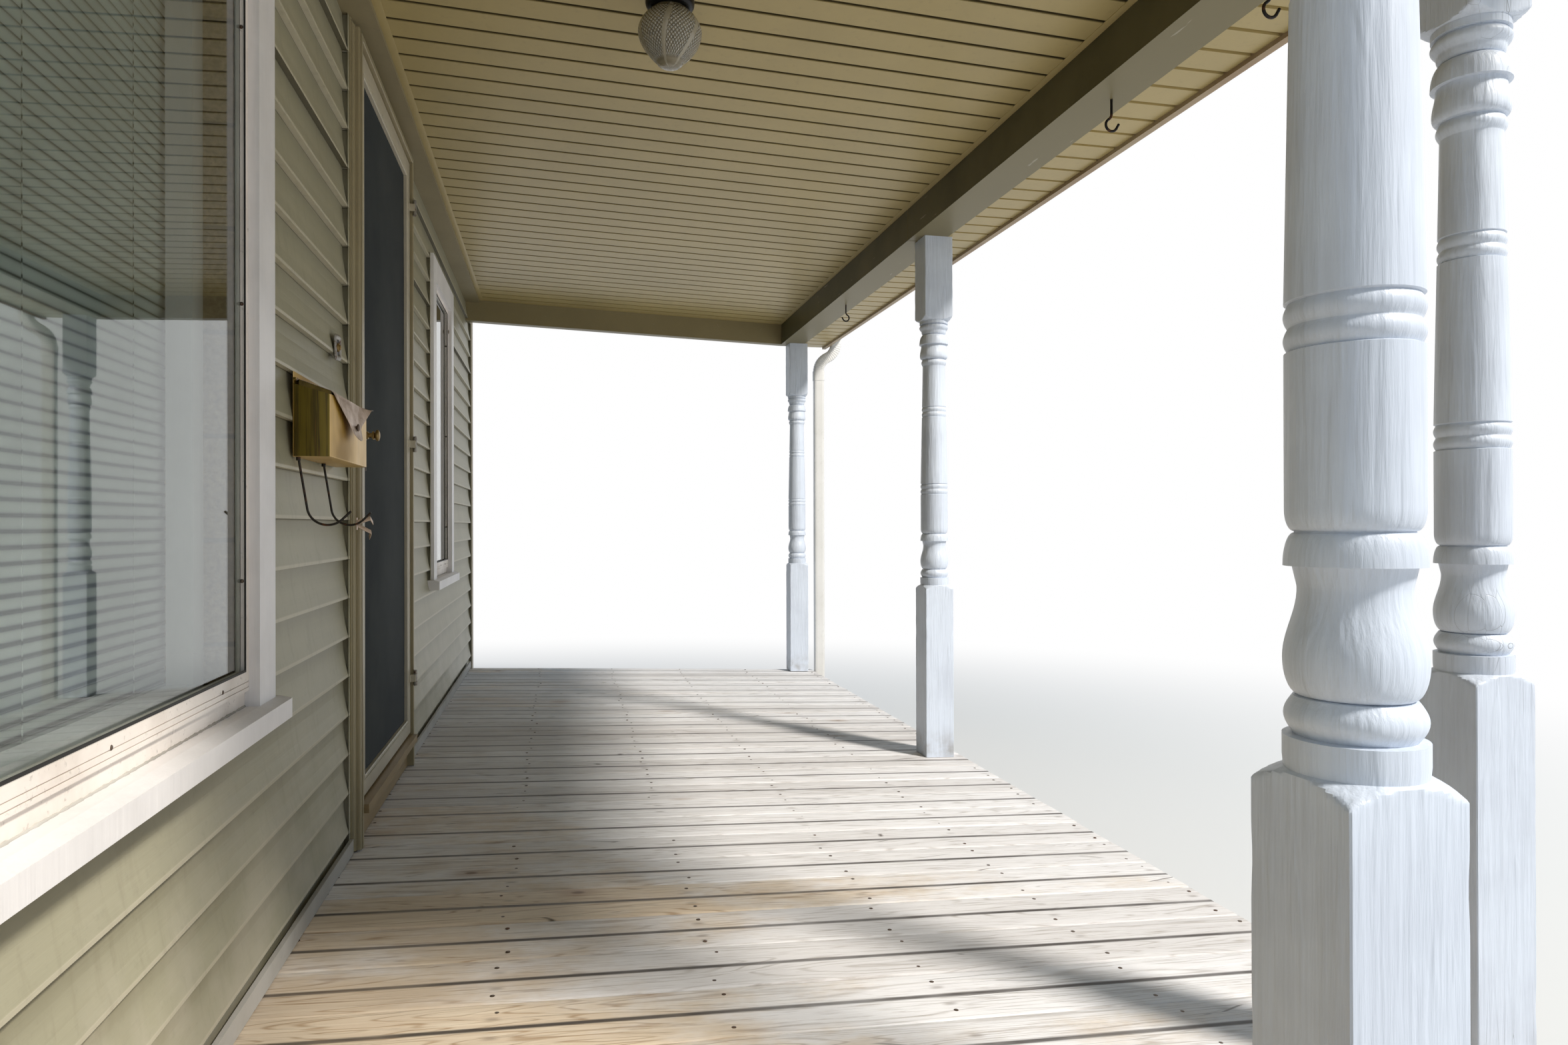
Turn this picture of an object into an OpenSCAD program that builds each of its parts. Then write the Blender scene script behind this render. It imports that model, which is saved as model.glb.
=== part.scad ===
// Front porch of a frame house: a board deck on piers, turned posts, a boxed
// beam under a low lean-to roof, and the length of house wall behind it.
// X runs along the wall, Y goes into the house, Z is up. The origin lies on
// the ground, under the middle of the house foundation's thickness and the
// middle of the deck's length. "d" is a distance out from the wall sheathing.

/* [Deck] */
// Depth of the deck, from the sheathing to the front edge of its boards
deck_out = 2132; // [2120:1:2160]
// Height of the deck above the ground, at the wall
deck_h = 460; // [420:5:520]
// Fall of the deck, in millimetres per millimetre out from the wall
deck_fall = 0.038; // [0.02:0.002:0.04]
// Width of one deck board
board_w = 184; // [140:1:190]
// Gap between deck boards
board_gap = 3; // [2:1:6]
// Thickness of the deck boards
board_t = 38; // [30:1:40]
// Depth of the joists and rims
joist_h = 184; // [140:1:200]
// Thickness of the joists and rims
joist_t = 38; // [35:1:45]
// Number of joists that run along the wall, between the ledger and the front rim
joists = 4; // [3:1:5]
// Side of the square concrete piers
pier = 200; // [150:10:250]

/* [Steps] */
// Clear width of the steps at the near end
step_w = 1040; // [900:10:1080]
// Depth of a tread
tread = 280; // [260:5:300]
// Number of treads below the deck
treads = 2; // [2:1:3]
// Gap between the wall and the steps
step_d0 = 60; // [40:5:100]
// Thickness of treads and stringers
step_t = 38; // [35:1:45]

/* [House wall] */
// Thickness of the foundation wall
found_t = 200; // [160:10:240]
// How far the top of the foundation lies below the deck's surface
found_drop = 224; // [224:2:260]
// Thickness of the framed wall
wall_t = 140; // [110:5:160]
// Wall length past the near end of the deck
wall_near = 560; // [520:10:640]
// Wall length past the far end of the deck
wall_far = 200; // [150:10:400]
// Top of the wall above the deck
wall_top = 2900; // [2880:10:3000]
// Height of one course of siding
lap = 101.6; // [90:0.1:110]
// Height of the first lap line above the deck
lap_start = 55; // [20:1:90]
// How far the lower edge of a course stands off the sheathing
lap_out = 17; // [12:1:20]
// How far the top of a course stands off the sheathing
lap_in = 4; // [3:1:6]
// Dark gap between the cut ends of the siding and the trim
lap_gap = 11; // [5:1:13]
// Width of the channel strips that hide the siding's ends
channel_w = 14; // [14:1:18]
// Face width of the outside corner trim
corner_w = 75; // [60:1:90]

/* [Door] */
// Middle of the door, from the middle of the deck
door_x = -170; // [-190:10:-150]
// Clear width between the door mouldings
door_w = 900; // [880:5:920]
// Clear height between the sill and the head moulding
door_h = 2032; // [2000:1:2032]
// Height of the door sill above the deck
door_sill = 112; // [100:1:112]
// Face width of the moulding round the door
mould_w = 50; // [40:1:55]
// How far that moulding stands off the sheathing
mould_out = 44; // [40:1:50]
// Thickness of the door jambs
jamb_t = 32; // [25:1:38]
// Thickness of the entry door
entry_t = 44; // [38:1:50]
// Width of the entry door's sunk panels
panel_w = 300; // [260:5:310]
// Height of the entry door's sunk panels
panel_h = 780; // [700:5:800]
// Thickness of the storm door
storm_t = 25; // [22:1:28]
// Gap round the storm door
storm_gap = 7; // [6:1:8]
// Width of the storm door's stiles and top rail
stile = 62; // [50:1:80]
// Height of the storm door's bottom rail
kick_rail = 150; // [120:5:200]
// Height of the storm door's handle above the sill
handle_up = 985; // [850:5:1000]
// Radius of the storm door's hinge pins
pin_r = 3; // [2.5:0.5:4]
// Clearance between a hinge pin and its knuckle
pin_play = 0.06; // [0.04:0.01:0.1]

/* [Windows] */
// Middle of the front window, from the middle of the deck
front_win_x = -2047; // [-2070:1:-2030]
// Clear width of the front window
front_win_w = 1094; // [1060:2:1120]
// Height of the front window's opening above the deck
front_win_z = 490; // [470:1:500]
// Middle of the side window, from the middle of the deck
side_win_x = 1360; // [1340:10:1380]
// Clear width of the side window
side_win_w = 600; // [560:10:620]
// Height of the side window's opening above the deck
side_win_z = 580; // [560:5:600]
// Top of both windows' openings above the deck
win_head = 1910; // [1880:5:1920]
// Face width of the window casings
casing_w = 98; // [80:1:100]
// How far the casings stand off the sheathing
casing_out = 32; // [25:1:40]
// Thickness of the window sills
sill_t = 42; // [35:1:50]
// How far the sills stand off the sheathing
sill_out = 56; // [50:1:80]
// How far a sill runs past the casing
horn = 20; // [10:1:60]
// Width of the aluminium frame round the glass
sash_w = 18; // [14:1:40]
// Height of that frame's bottom rail with its base strip
sash_foot = 64; // [50:1:70]
// Thickness of the aluminium frame
sash_t = 20; // [16:1:25]
// How far the aluminium frame stands off the sheathing
sash_out = 14; // [8:1:20]
// Width of the wooden frame behind the glass
inner_w = 50; // [35:1:55]
// Thickness of that frame
inner_t = 42; // [30:1:45]
// How far inside the sheathing it starts
inner_in = 62; // [50:1:75]
// Thickness of the window glass
glass_t = 4; // [3:1:6]
// Spacing of the blind slats
slat_pitch = 20; // [18:0.5:24]
// Depth of the blind slats
slat_w = 25; // [20:1:28]
// Tilt of the blind slats, in degrees
slat_tilt = 66; // [40:1:75]
// Gap between the blinds and the sides of the window
blind_side = 21; // [15:1:45]

/* [Posts] */
// Side of the square blocks of the turned posts
post = 117; // [110:1:120]
// Distance of the post line from the sheathing
post_out = 2030; // [2026:1:2036]
// From the far post to the middle post
bay_far = 2365; // [2200:5:2450]
// From the middle post to the third
bay_mid = 2405; // [2300:5:2500]
// From the third post to the near corner post
bay_near = 613; // [560:1:700]
// Distance of the single near-end post from the sheathing
near_post_out = 1225; // [1215:5:1300]
// Height of the square base block
base_block = 686; // [640:1:720]
// Height of the square top block
top_block = 333; // [300:1:360]
// Radius of the turned shaft at its foot
shaft_r = 54; // [50:0.5:55]
// Radius of the turned shaft at its head
shaft_top_r = 44.5; // [43:0.5:50]

/* [Roof and beams] */
// Height of the beam's underside above the deck, measured at the wall
beam_z = 2005; // [1980:5:2020]
// Distance of the beam's inner face from the sheathing
beam_in = 1930; // [1920:1:1940]
// Width of the beam
beam_w = 140; // [130:1:150]
// Height of the beam's inner face below the ceiling
beam_face = 126; // [110:1:140]
// Fall of the ceiling and end beams, out from the wall
ceil_fall = 0.036; // [0.02:0.002:0.04]
// Thickness of the end beams
end_beam_t = 60; // [45:1:80]
// Width of the overhang's soffit, from the beam to the fascia
eave = 145; // [130:1:160]
// Thickness of the soffit sheets
soffit_t = 12; // [10:1:15]
// Spacing of the soffit's grooves
groove_pitch = 101.6; // [90:0.1:110]
// Width of a soffit groove
groove_w = 14; // [8:1:16]
// From the far end beam to the first groove
groove_first = 84; // [60:1:100]
// Width of the flat board against the wall, under the ceiling
ledger_w = 85; // [75:1:95]
// Thickness of that board below the ceiling
ledger_t = 16; // [12:1:18]
// Height of the fascia
fascia_h = 150; // [140:5:180]
// How far the fascia hangs below the soffit
fascia_drop = 12; // [8:1:20]
// Thickness of the fascia
fascia_t = 22; // [18:1:28]
// Slope of the roof, in millimetres per millimetre
roof_pitch = 0.25; // [0.2:0.01:0.28]
// Thickness of the roof boards and shingles
roof_t = 32; // [25:1:40]
// How far the roof runs past the ends and the fascia
roof_drip = 30; // [20:1:40]
// Thickness of the boards that close the roof's ends
end_panel_t = 40; // [30:1:50]
// Width of the gutter
gutter_w = 125; // [115:1:130]
// Height of the gutter
gutter_h = 80; // [70:1:84]
// Width of the gutter's floor
gutter_floor = 88; // [80:1:92]
// Thickness of the gutter's metal
gutter_t = 3; // [2:0.5:4]
// Width of the downspout, measured out from the wall
spout_w = 66; // [60:1:70]
// Width of the downspout along the wall
spout_d = 48; // [45:1:60]
// Bend radius of the downspout's elbows
elbow_r = 100; // [85:5:120]

/* [Fittings] */
// Width of the mailbox
mail_w = 395; // [380:5:430]
// Middle of the mailbox, from the middle of the deck
mail_x = -1023; // [-1035:1:-1010]
// Height of the mailbox's bottom above the deck
mail_z = 996; // [950:1:1050]
// Depth of the mailbox
mail_d = 71; // [65:1:90]
// Height of the mailbox's front
mail_front = 128; // [110:1:135]
// Height of the mailbox's back
mail_back = 165; // [155:1:180]
// Length of the lid's front flap, with its tongue
mail_flap = 72; // [65:1:90]
// How far the newspaper hooks hang below the mailbox
paper_drop = 141; // [120:1:150]
// Bend radius of the newspaper hooks
paper_bend = 40; // [35:1:50]
// Distance between the two newspaper hooks
paper_gap = 222; // [180:2:240]
// Thickness of the mailbox's sheet metal
mail_t = 1.5; // [1:0.5:2]
// Height of the doorbell's middle above the mailbox
bell_rise = 118; // [80:2:180]
// Distance of the doorbell from the door moulding
bell_gap = 150; // [120:5:180]
// Radius of the hook rods
hook_r = 3.5; // [3:0.5:5]
// Length of a plant hook's straight tail
hook_tail = 14; // [10:1:20]
// Length of a plant hook's straight stem
hook_stem = 40; // [30:1:60]
// Bend radius of the plant hooks
hook_bend = 17; // [14:1:20]
// Distance of the first plant hook past the third post
hook_1 = 450; // [400:10:500]
// Distance of the second plant hook past the third post
hook_2 = 1061; // [1000:1:1200]
// Distance of the last plant hook past the middle post
hook_3 = 1197; // [1100:1:1250]
// Place of the ceiling light along the wall, from the middle of the deck
light_x = -1010; // [-1100:5:-900]
// Distance of the ceiling light from the wall
light_out = 818; // [800:1:850]
// Radius of the light's glass shade
shade_r = 78; // [72:1:82]
// Height of the glass shade
shade_h = 138; // [130:2:160]
// Radius of the shade's neck
neck_r = 46; // [42:1:48]
// Radius of the light's metal holder
holder_r = 60; // [55:1:65]
// Height of that holder
holder_h = 54; // [45:1:60]

/* [Hidden] */

$fn = 48;
eps = 0.01;
seat = 0.3;
wall_y = -found_t / 2;
found_h = deck_h - found_drop;
deck_len = post + bay_far + bay_mid + bay_near;
deck_x0 = -deck_len / 2;
deck_x1 = deck_len / 2;
wall_x0 = deck_x0 - wall_near;
wall_x1 = deck_x1 + wall_far;
top_z = deck_h + wall_top;

// Height of the deck's surface, and of the ceiling, at a distance out from the wall
function deck_z(d) = deck_h - deck_fall * d;
beam_bottom = deck_h + beam_z;
function ceil_z(d) = beam_bottom + beam_face + ceil_fall * (beam_in - d);

far_x = deck_x1 - post / 2;
middle_x = far_x - bay_far;
third_x = middle_x - bay_mid;
near_x = deck_x0 + post / 2;

door_z0 = deck_h + door_sill;
door_z1 = door_z0 + door_h;
front_win = [front_win_x, front_win_w, front_win_z];
side_win = [side_win_x, side_win_w, side_win_z];
windows = [front_win, side_win];

// A solid that runs along X with a given outline in Y and Z
module along_x(x0, x1, outline)
    translate([x0, 0, 0]) rotate([90, 0, 90]) linear_extrude(x1 - x0) polygon(outline);

// A block set out from the wall: x range, distance range, height range
module out_block(x0, x1, d0, d1, z0, z1)
    translate([x0, wall_y - d1, z0]) cube([x1 - x0, d1 - d0, z1 - z0]);

// A slab that follows the fall of the deck, from drop0 to drop1 under its surface
module deck_slab(x0, x1, d0, d1, drop0, drop1)
    along_x(x0, x1, [
        [wall_y - d0, deck_z(d0) - drop0], [wall_y - d0, deck_z(d0) - drop1],
        [wall_y - d1, deck_z(d1) - drop1], [wall_y - d1, deck_z(d1) - drop0]]);

// A slab that follows the fall of the ceiling, from rise0 to rise1 over it
module ceiling_slab(x0, x1, d0, d1, rise0, rise1)
    along_x(x0, x1, [
        [wall_y - d0, ceil_z(d0) + rise0], [wall_y - d0, ceil_z(d0) + rise1],
        [wall_y - d1, ceil_z(d1) + rise1], [wall_y - d1, ceil_z(d1) + rise0]]);

// Ground to frame: foundation, piers, joists and boards

module foundation() color("gray")
    translate([wall_x0, wall_y, 0]) cube([wall_x1 - wall_x0, found_t, found_h]);

module deck_piers() color("darkgray")
    for (x = [near_x, third_x, middle_x, far_x])
        intersection() {
            out_block(max(x - pier / 2, deck_x0), min(x + pier / 2, deck_x1), post_out - pier / 2,
                post_out + pier / 2 - 30, 0, deck_h);
            deck_slab(x - pier, x + pier, post_out - pier, post_out + pier,
                board_t + joist_h, deck_h * 2);
        }

joist_out = deck_out - 12;
joist_span = joist_out - joist_t;

module deck_frame() color("tan") {
    for (i = [0 : joists + 1])
        let (d = i * joist_span / (joists + 1))
            deck_slab(deck_x0 + joist_t, deck_x1 - joist_t, d, d + joist_t, board_t,
                board_t + joist_h);
    for (x = [deck_x0, deck_x1 - joist_t])
        deck_slab(x, x + joist_t, 0, joist_out, board_t, board_t + joist_h);
}

board_pitch = board_w + board_gap;
boards = floor((deck_len + board_gap) / board_pitch);
first_board_w = deck_len + board_gap - boards * board_pitch;

module deck_boards() color("burlywood") {
    for (i = [0 : boards - 1])
        let (x = deck_x1 - board_w - i * board_pitch)
            deck_slab(x, x + board_w, 0, deck_out, 0, board_t);
    if (first_board_w > 10 + board_gap)
        deck_slab(deck_x0, deck_x0 + first_board_w - board_gap, 0, deck_out, 0, board_t);
}

// Steps between the wall and the single post at the near end
step_rise = (deck_h - deck_fall * step_w) / (treads + 1);

module stringer(d)
    translate([0, wall_y - d, 0]) rotate([90, 0, 0]) linear_extrude(step_t)
        polygon(concat(
            [[deck_x0, 0]],
            [[deck_x0, treads * step_rise - step_t]],
            [for (i = [0 : treads - 1], end = [0, 1])
                [deck_x0 - (i + end) * tread, (treads - i) * step_rise - step_t]],
            [[deck_x0 - treads * tread, 0]]));

module step_stringers() color("tan")
    for (i = [0 : 2])
        stringer(step_d0 + i * (step_w - step_t) / 2);

module step_treads() color("burlywood")
    for (i = [0 : treads - 1])
        out_block(deck_x0 - (i + 1) * tread + 2, deck_x0 - i * tread - 2, step_d0,
            step_d0 + step_w, (treads - i) * step_rise - step_t, (treads - i) * step_rise);

// House wall with the door and both windows cut through it
door_x0 = door_x - door_w / 2 - jamb_t;
door_x1 = door_x + door_w / 2 + jamb_t;
function win_x0(w) = w[0] - w[1] / 2;
function win_x1(w) = w[0] + w[1] / 2;

module wall_block(x0, x1, z0, z1)
    translate([x0, wall_y, z0]) cube([x1 - x0, wall_t, z1 - z0]);

module wall_full_height() color("dimgray") {
    wall_block(wall_x0, win_x0(front_win), found_h, top_z);
    wall_block(win_x1(front_win), door_x0, found_h, top_z);
    wall_block(door_x1, win_x0(side_win), found_h, top_z);
    wall_block(win_x1(side_win), wall_x1, found_h, top_z);
}

module wall_at_openings() color("dimgray") {
    for (w = windows) {
        wall_block(win_x0(w), win_x1(w), deck_h + win_head, top_z);
        wall_block(win_x0(w), win_x1(w), found_h, deck_h + w[2]);
    }
    wall_block(door_x0, door_x1, door_z1 + jamb_t, top_z);
    wall_block(door_x0, door_x1, found_h, door_z0 - jamb_t);
}

// Lapped siding: one outline of hollow-faced courses run along the wall
siding_z0 = deck_h + lap_start - 3 * lap;
courses = floor((top_z - siding_z0) / lap);
lap_lip = 6;

// Stand-off of a course's face at a share t of its height above the lip
function face_out(t) = lap_in + (lap_out - lap_in) * pow(1 - t, 1.8);
siding_outline = concat(
    [for (i = [0 : courses - 1]) each concat(
        [[wall_y - lap_out, siding_z0 + i * lap]],
        [for (t = [0, 0.3, 0.65, 1])
            [wall_y - face_out(t), siding_z0 + i * lap + lap_lip + t * (lap - lap_lip)]])],
    [[wall_y, siding_z0 + courses * lap], [wall_y, siding_z0]]);
beam_out = beam_in + beam_w;
fascia_d = beam_out + eave;
roof_out = fascia_d + fascia_t;
fascia_z0 = beam_bottom - fascia_drop;
fascia_z1 = fascia_z0 + fascia_h;

// Height of the roof's underside at a distance out from the wall
function roof_z(d) = fascia_z1 + roof_pitch * (roof_out - d);

// Channel that the siding's ends run into: a web against the trim and a lip
module channel(x, side, z0, z1)
    translate([x, wall_y, z0]) mirror([side < 0 ? 1 : 0, 0, 0]) {
        translate([0, -lap_out - 2, 0]) cube([1.2, lap_out + 2, z1 - z0]);
        translate([0, -lap_out - 2, 0]) cube([channel_w, 1.2, z1 - z0]);
    }

module siding() color("darkkhaki") {
    for (w = windows) {
        z0 = deck_h + w[2] + sill_t + seat;
        z1 = deck_h + win_head + casing_w;
        channel(win_x0(w) - casing_w, -1, z0, z1);
        channel(win_x1(w) + casing_w, 1, z0, z1);
    }
    for (side = [-1, 1])
        channel(door_x + side * (door_w / 2 + mould_w), side, deck_h + base_h + 1,
            ceil_z(lap_out + 2) - ledger_t - seat);
    channel(wall_x0 + corner_w, 1, siding_z0, top_z);
    channel(wall_x1 - corner_w, -1, siding_z0, top_z);
    difference() {
        along_x(wall_x0 + corner_w + lap_gap, wall_x1 - corner_w - lap_gap, siding_outline);
        out_block(deck_x0 - 2, deck_x1 + 2, -1, lap_out + 1, 0, deck_h + 8);
        out_block(deck_x0 - roof_drip - 2, deck_x1 + roof_drip + 2, -1, lap_out + 1,
            ceil_z(lap_out + 1) - ledger_t, roof_z(0) + roof_t + 10);
        out_block(door_x - door_w / 2 - mould_w - lap_gap, door_x + door_w / 2 + mould_w + lap_gap,
            -1, lap_out + 1, 0, ceil_z(0));
        for (w = windows) {
            out_block(win_x0(w) - casing_w - lap_gap, win_x1(w) + casing_w + lap_gap,
                -1, lap_out + 1, deck_h + w[2], deck_h + win_head + casing_w + 2);
            out_block(win_x0(w) - casing_w - horn - 2, win_x1(w) + casing_w + horn + 2,
                -1, lap_out + 1, deck_h + w[2] - 2, deck_h + w[2] + sill_t);
        }
        for (x = [deck_x0, deck_x1 - end_beam_t])
            out_block(x - 2, x + end_beam_t + 2, -1, lap_out + 1, ceil_z(lap_out) - beam_face - 1,
                ceil_z(0));
    }
}

corner_lip = 22;

module corner_trim() color("tan")
    for (side = [0, 1])
        mirror([side, 0, 0]) translate([side == 1 ? -wall_x0 : wall_x1, 0, 0]) {
            translate([-corner_w, wall_y - corner_lip, siding_z0])
                cube([corner_w + corner_lip, corner_lip, top_z - siding_z0]);
            translate([0, wall_y, siding_z0])
                cube([corner_lip, corner_w, top_z - siding_z0]);
        }

base_h = 38;

module base_trim() color("lightgray")
    difference() {
        deck_slab(deck_x0, deck_x1, lap_out + 1, lap_out + 10, -base_h, 0);
        out_block(door_x - door_w / 2 - mould_w - 1, door_x + door_w / 2 + mould_w + 1, 0, lap_out + 30,
            0, deck_h + base_h + 1);
    }

// Windows: casings, sills, aluminium sashes, glass and slatted blinds

module window_casings() color("white")
    for (w = windows) {
        z0 = deck_h + w[2] + sill_t;
        z1 = deck_h + win_head;
        for (x = [win_x0(w) - casing_w, win_x1(w)])
            out_block(x, x + casing_w, 0, casing_out, z0, z1);
        out_block(win_x0(w) - casing_w, win_x1(w) + casing_w, 0, casing_out, z1, z1 + casing_w);
        difference() {
            out_block(win_x0(w), win_x1(w), -inner_in - inner_t, -inner_in, z0, z1);
            out_block(win_x0(w) + inner_w, win_x1(w) - inner_w, -inner_in - inner_t - 1,
                -inner_in + 1, z0 + inner_w, z1 - inner_w);
        }
    }

module window_sills() color("white")
    for (w = windows) {
        z0 = deck_h + w[2];
        along_x(win_x0(w), win_x1(w), [
            [wall_y + inner_in + inner_t, z0], [wall_y - sill_out, z0],
            [wall_y - sill_out, z0 + sill_t - 6], [wall_y - casing_out, z0 + sill_t],
            [wall_y + inner_in + inner_t, z0 + sill_t]]);
        for (x = [win_x0(w) - casing_w - horn, win_x1(w)])
            along_x(x, x + casing_w + horn, [
                [wall_y, z0], [wall_y - sill_out, z0],
                [wall_y - sill_out, z0 + sill_t - 6], [wall_y - casing_out, z0 + sill_t],
                [wall_y, z0 + sill_t]]);
    }

// Aluminium frame: a raised ring, a lower base strip, and two grooves in the rail
module window_sashes() color("silver")
    for (w = windows) {
        z0 = deck_h + w[2] + sill_t;
        z1 = deck_h + win_head;
        difference() {
            out_block(win_x0(w), win_x1(w), sash_out - sash_t, sash_out, z0, z1);
            out_block(win_x0(w) + sash_w, win_x1(w) - sash_w, sash_out - sash_t - 1, sash_out + 1,
                z0 + sash_foot, z1 - sash_w);
            out_block(win_x0(w) - 1, win_x1(w) + 1, sash_out - 7, sash_out + 1, z0 - 1,
                z0 + sash_foot * 0.45);
            for (share = [0.55, 0.7])
                out_block(win_x0(w) - 1, win_x1(w) + 1, sash_out - 2, sash_out + 1,
                    z0 + sash_foot * share, z0 + sash_foot * share + 1.5);
        }
    }

glass_d = sash_out - sash_t / 2;

module window_glass() color("lightblue", 0.4)
    for (w = windows)
        out_block(win_x0(w) + sash_w, win_x1(w) - sash_w, glass_d - glass_t / 2,
            glass_d + glass_t / 2, deck_h + w[2] + sill_t + sash_foot, deck_h + win_head - sash_w);

head_rail = 26;
rail_half = 9;
blind_d = -inner_in - inner_t - seat - max(rail_half, slat_w * cos(slat_tilt) / 2);

module window_blinds() color("whitesmoke")
    for (w = windows) {
        x0 = win_x0(w) + blind_side;
        x1 = win_x1(w) - blind_side;
        z0 = deck_h + w[2] + sill_t;
        z1 = deck_h + win_head;
        out_block(x0, x1, blind_d - rail_half, blind_d + rail_half, z1 - head_rail, z1);
        for (x = [x0 + 90, x1 - 90])
            out_block(x - 2, x + 2, blind_d - 1, blind_d + 1, z0 + seat, z1 - head_rail + eps);
        for (z = [z1 - head_rail - slat_pitch / 2 : -slat_pitch : z0 + slat_w / 2])
            translate([x0, wall_y - blind_d, z]) rotate([slat_tilt, 0, 0])
                translate([0, -slat_w / 2, -0.75]) cube([x1 - x0, slat_w, 1.5]);
    }

// Door: jambs, mouldings, sill board, entry door and the storm door that opens

module door_jambs() color("goldenrod") {
    for (x = [door_x0, door_x1 - jamb_t])
        out_block(x, x + jamb_t, -wall_t, 0, door_z0, door_z1);
    out_block(door_x0, door_x1, -wall_t, 0, door_z1, door_z1 + jamb_t);
    out_block(door_x0, door_x1, -wall_t, 0, door_z0 - jamb_t, door_z0);
}

// Stepped moulding profile of width w: distance along the face, distance off the wall
function mould_profile(w) = [[0, 0], [w, 0], [w, mould_out - 22], [w - 8, mould_out - 16],
    [w - 18, mould_out - 6], [w - 26, mould_out - 6], [w - 30, mould_out], [0, mould_out]];

// The head moulding stops under the flat board at the ceiling
mould_head = ceil_z(mould_out) - ledger_t - seat - door_z1;

module mould_upright(side)
    translate([door_x + side * door_w / 2, wall_y, deck_h + seat])
        mirror([side < 0 ? 1 : 0, 0, 0]) mirror([0, 1, 0])
            linear_extrude(door_z1 - deck_h - 2 * seat) polygon(mould_profile(mould_w));

module door_moulding() color("darkgoldenrod") {
    for (side = [-1, 1])
        mould_upright(side);
    along_x(door_x - door_w / 2 - mould_w, door_x + door_w / 2 + mould_w,
        [for (p = mould_profile(mould_head)) [wall_y - p[1], door_z1 + p[0]]]);
}

module door_kick_board() color("goldenrod") {
    out_block(door_x - door_w / 2, door_x + door_w / 2, 0, 22, deck_h + seat, door_z0 - 24);
    out_block(door_x - door_w / 2, door_x + door_w / 2, 0, mould_out + 12, door_z0 - 24, door_z0);
}

module entry_door() color("saddlebrown")
    difference() {
        out_block(door_x - door_w / 2 + 3, door_x + door_w / 2 - 3, -wall_t + 4, -wall_t + 4 + entry_t,
            door_z0 + seat, door_z1 - 3);
        for (x = [-1, 1], z = [0.6 * panel_w, 1.4 * panel_h])
            translate([door_x + x * (panel_w / 2 + 55) - panel_w / 2, wall_y + wall_t - 4 - entry_t - 1,
                door_z0 + z])
                cube([panel_w, 9, panel_h]);
    }

storm_d0 = 9;
storm_d1 = storm_d0 + storm_t;
storm_x0 = door_x - door_w / 2 + storm_gap;
storm_x1 = door_x + door_w / 2 - storm_gap;
storm_z0 = door_z0 + storm_gap;
storm_z1 = door_z1 - storm_gap;
knuckle_r = pin_r + 2.5;
hinge_d = mould_out + knuckle_r + 1.5;
hinge_x = storm_x1 + storm_gap / 2;
hinge_heights = [180, 1010, 1850];
knuckle_h = 26;
knuckle_gap = 0.4;

module hinge_cylinder(r, z0, z1)
    translate([hinge_x, wall_y - hinge_d, z0]) cylinder(r = r, h = z1 - z0);

// The knuckle stands on a bracket that reaches round the door's edge to its face
module storm_door_frame() color("antiquewhite") {
    difference() {
        out_block(storm_x0, storm_x1, storm_d0, storm_d1, storm_z0, storm_z1);
        out_block(storm_x0 + stile, storm_x1 - stile, storm_d0 - 1, storm_d1 + 1,
            storm_z0 + kick_rail, storm_z1 - stile);
    }
    for (h = hinge_heights)
        let (z = storm_z0 + h)
            difference() {
                union() {
                    out_block(storm_x1 - 28, storm_x1 - 3, storm_d1 - eps, storm_d1 + 2, z, z + knuckle_h);
                    out_block(storm_x1 - 6, storm_x1 - 3, storm_d1 - eps, hinge_d, z, z + knuckle_h);
                    out_block(storm_x1 - 6, hinge_x, hinge_d - 1.5, hinge_d + 1.5, z, z + knuckle_h);
                    hinge_cylinder(knuckle_r, z, z + knuckle_h);
                }
                hinge_cylinder(pin_r + pin_play, z - 1, z + knuckle_h + 1);
            }
}

// Fixed half of each hinge: a plate on the moulding, two ears and the pin
module storm_door_hinges() color("gray")
    for (h = hinge_heights)
        let (z = storm_z0 + h, ear = 14) {
            hinge_cylinder(pin_r, z - knuckle_gap - ear, z + knuckle_h + knuckle_gap + ear);
            for (z0 = [z - knuckle_gap - ear, z + knuckle_h + knuckle_gap]) {
                hinge_cylinder(knuckle_r, z0, z0 + ear);
                out_block(hinge_x, hinge_x + 9, hinge_d - 1.5, hinge_d + 1.5, z0, z0 + ear);
                out_block(hinge_x + 6, hinge_x + 9, mould_out, hinge_d, z0, z0 + ear);
                out_block(hinge_x + 6, hinge_x + 16, mould_out, mould_out + 1.5, z0, z0 + ear);
            }
        }

module storm_door_screen() color("darkslategray", 0.6)
    out_block(storm_x0 + stile, storm_x1 - stile, storm_d0 + storm_t / 2 - 2,
        storm_d0 + storm_t / 2 + 2, storm_z0 + kick_rail, storm_z1 - stile);

handle_z = door_z0 + handle_up;

module storm_door_handle() color("gold")
    translate([storm_x0 + stile * 0.6, wall_y - storm_d1, handle_z]) {
        rotate([90, 0, 0]) cylinder(r = 11, h = 26);
        translate([0, -26, 0]) rotate([90, 0, 0]) cylinder(r = 20, h = 14);
        translate([-14, -3, -45]) cube([28, 3, 90]);
    }

// Mailbox with a lid that lifts, on the siding beside the door
mail_d0 = lap_out + seat;
mail_z0 = deck_h + mail_z;
lid_pin_r = 1.5;
lid_barrel_r = 3.2;
lid_pin_d = mail_d0 + mail_t + lid_barrel_r + 0.5;
lid_pin_z = mail_z0 + mail_back - 4;
lid_ear = 8;
back_lip = 12;

// Underside of the lid: a straight slope from its hinge to the box's front edge
function lid_z(d) = lid_pin_z
    + (mail_z0 + mail_front + 2 * seat - lid_pin_z) * (d - lid_pin_d) / (mail_d0 + mail_d - lid_pin_d);

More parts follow.
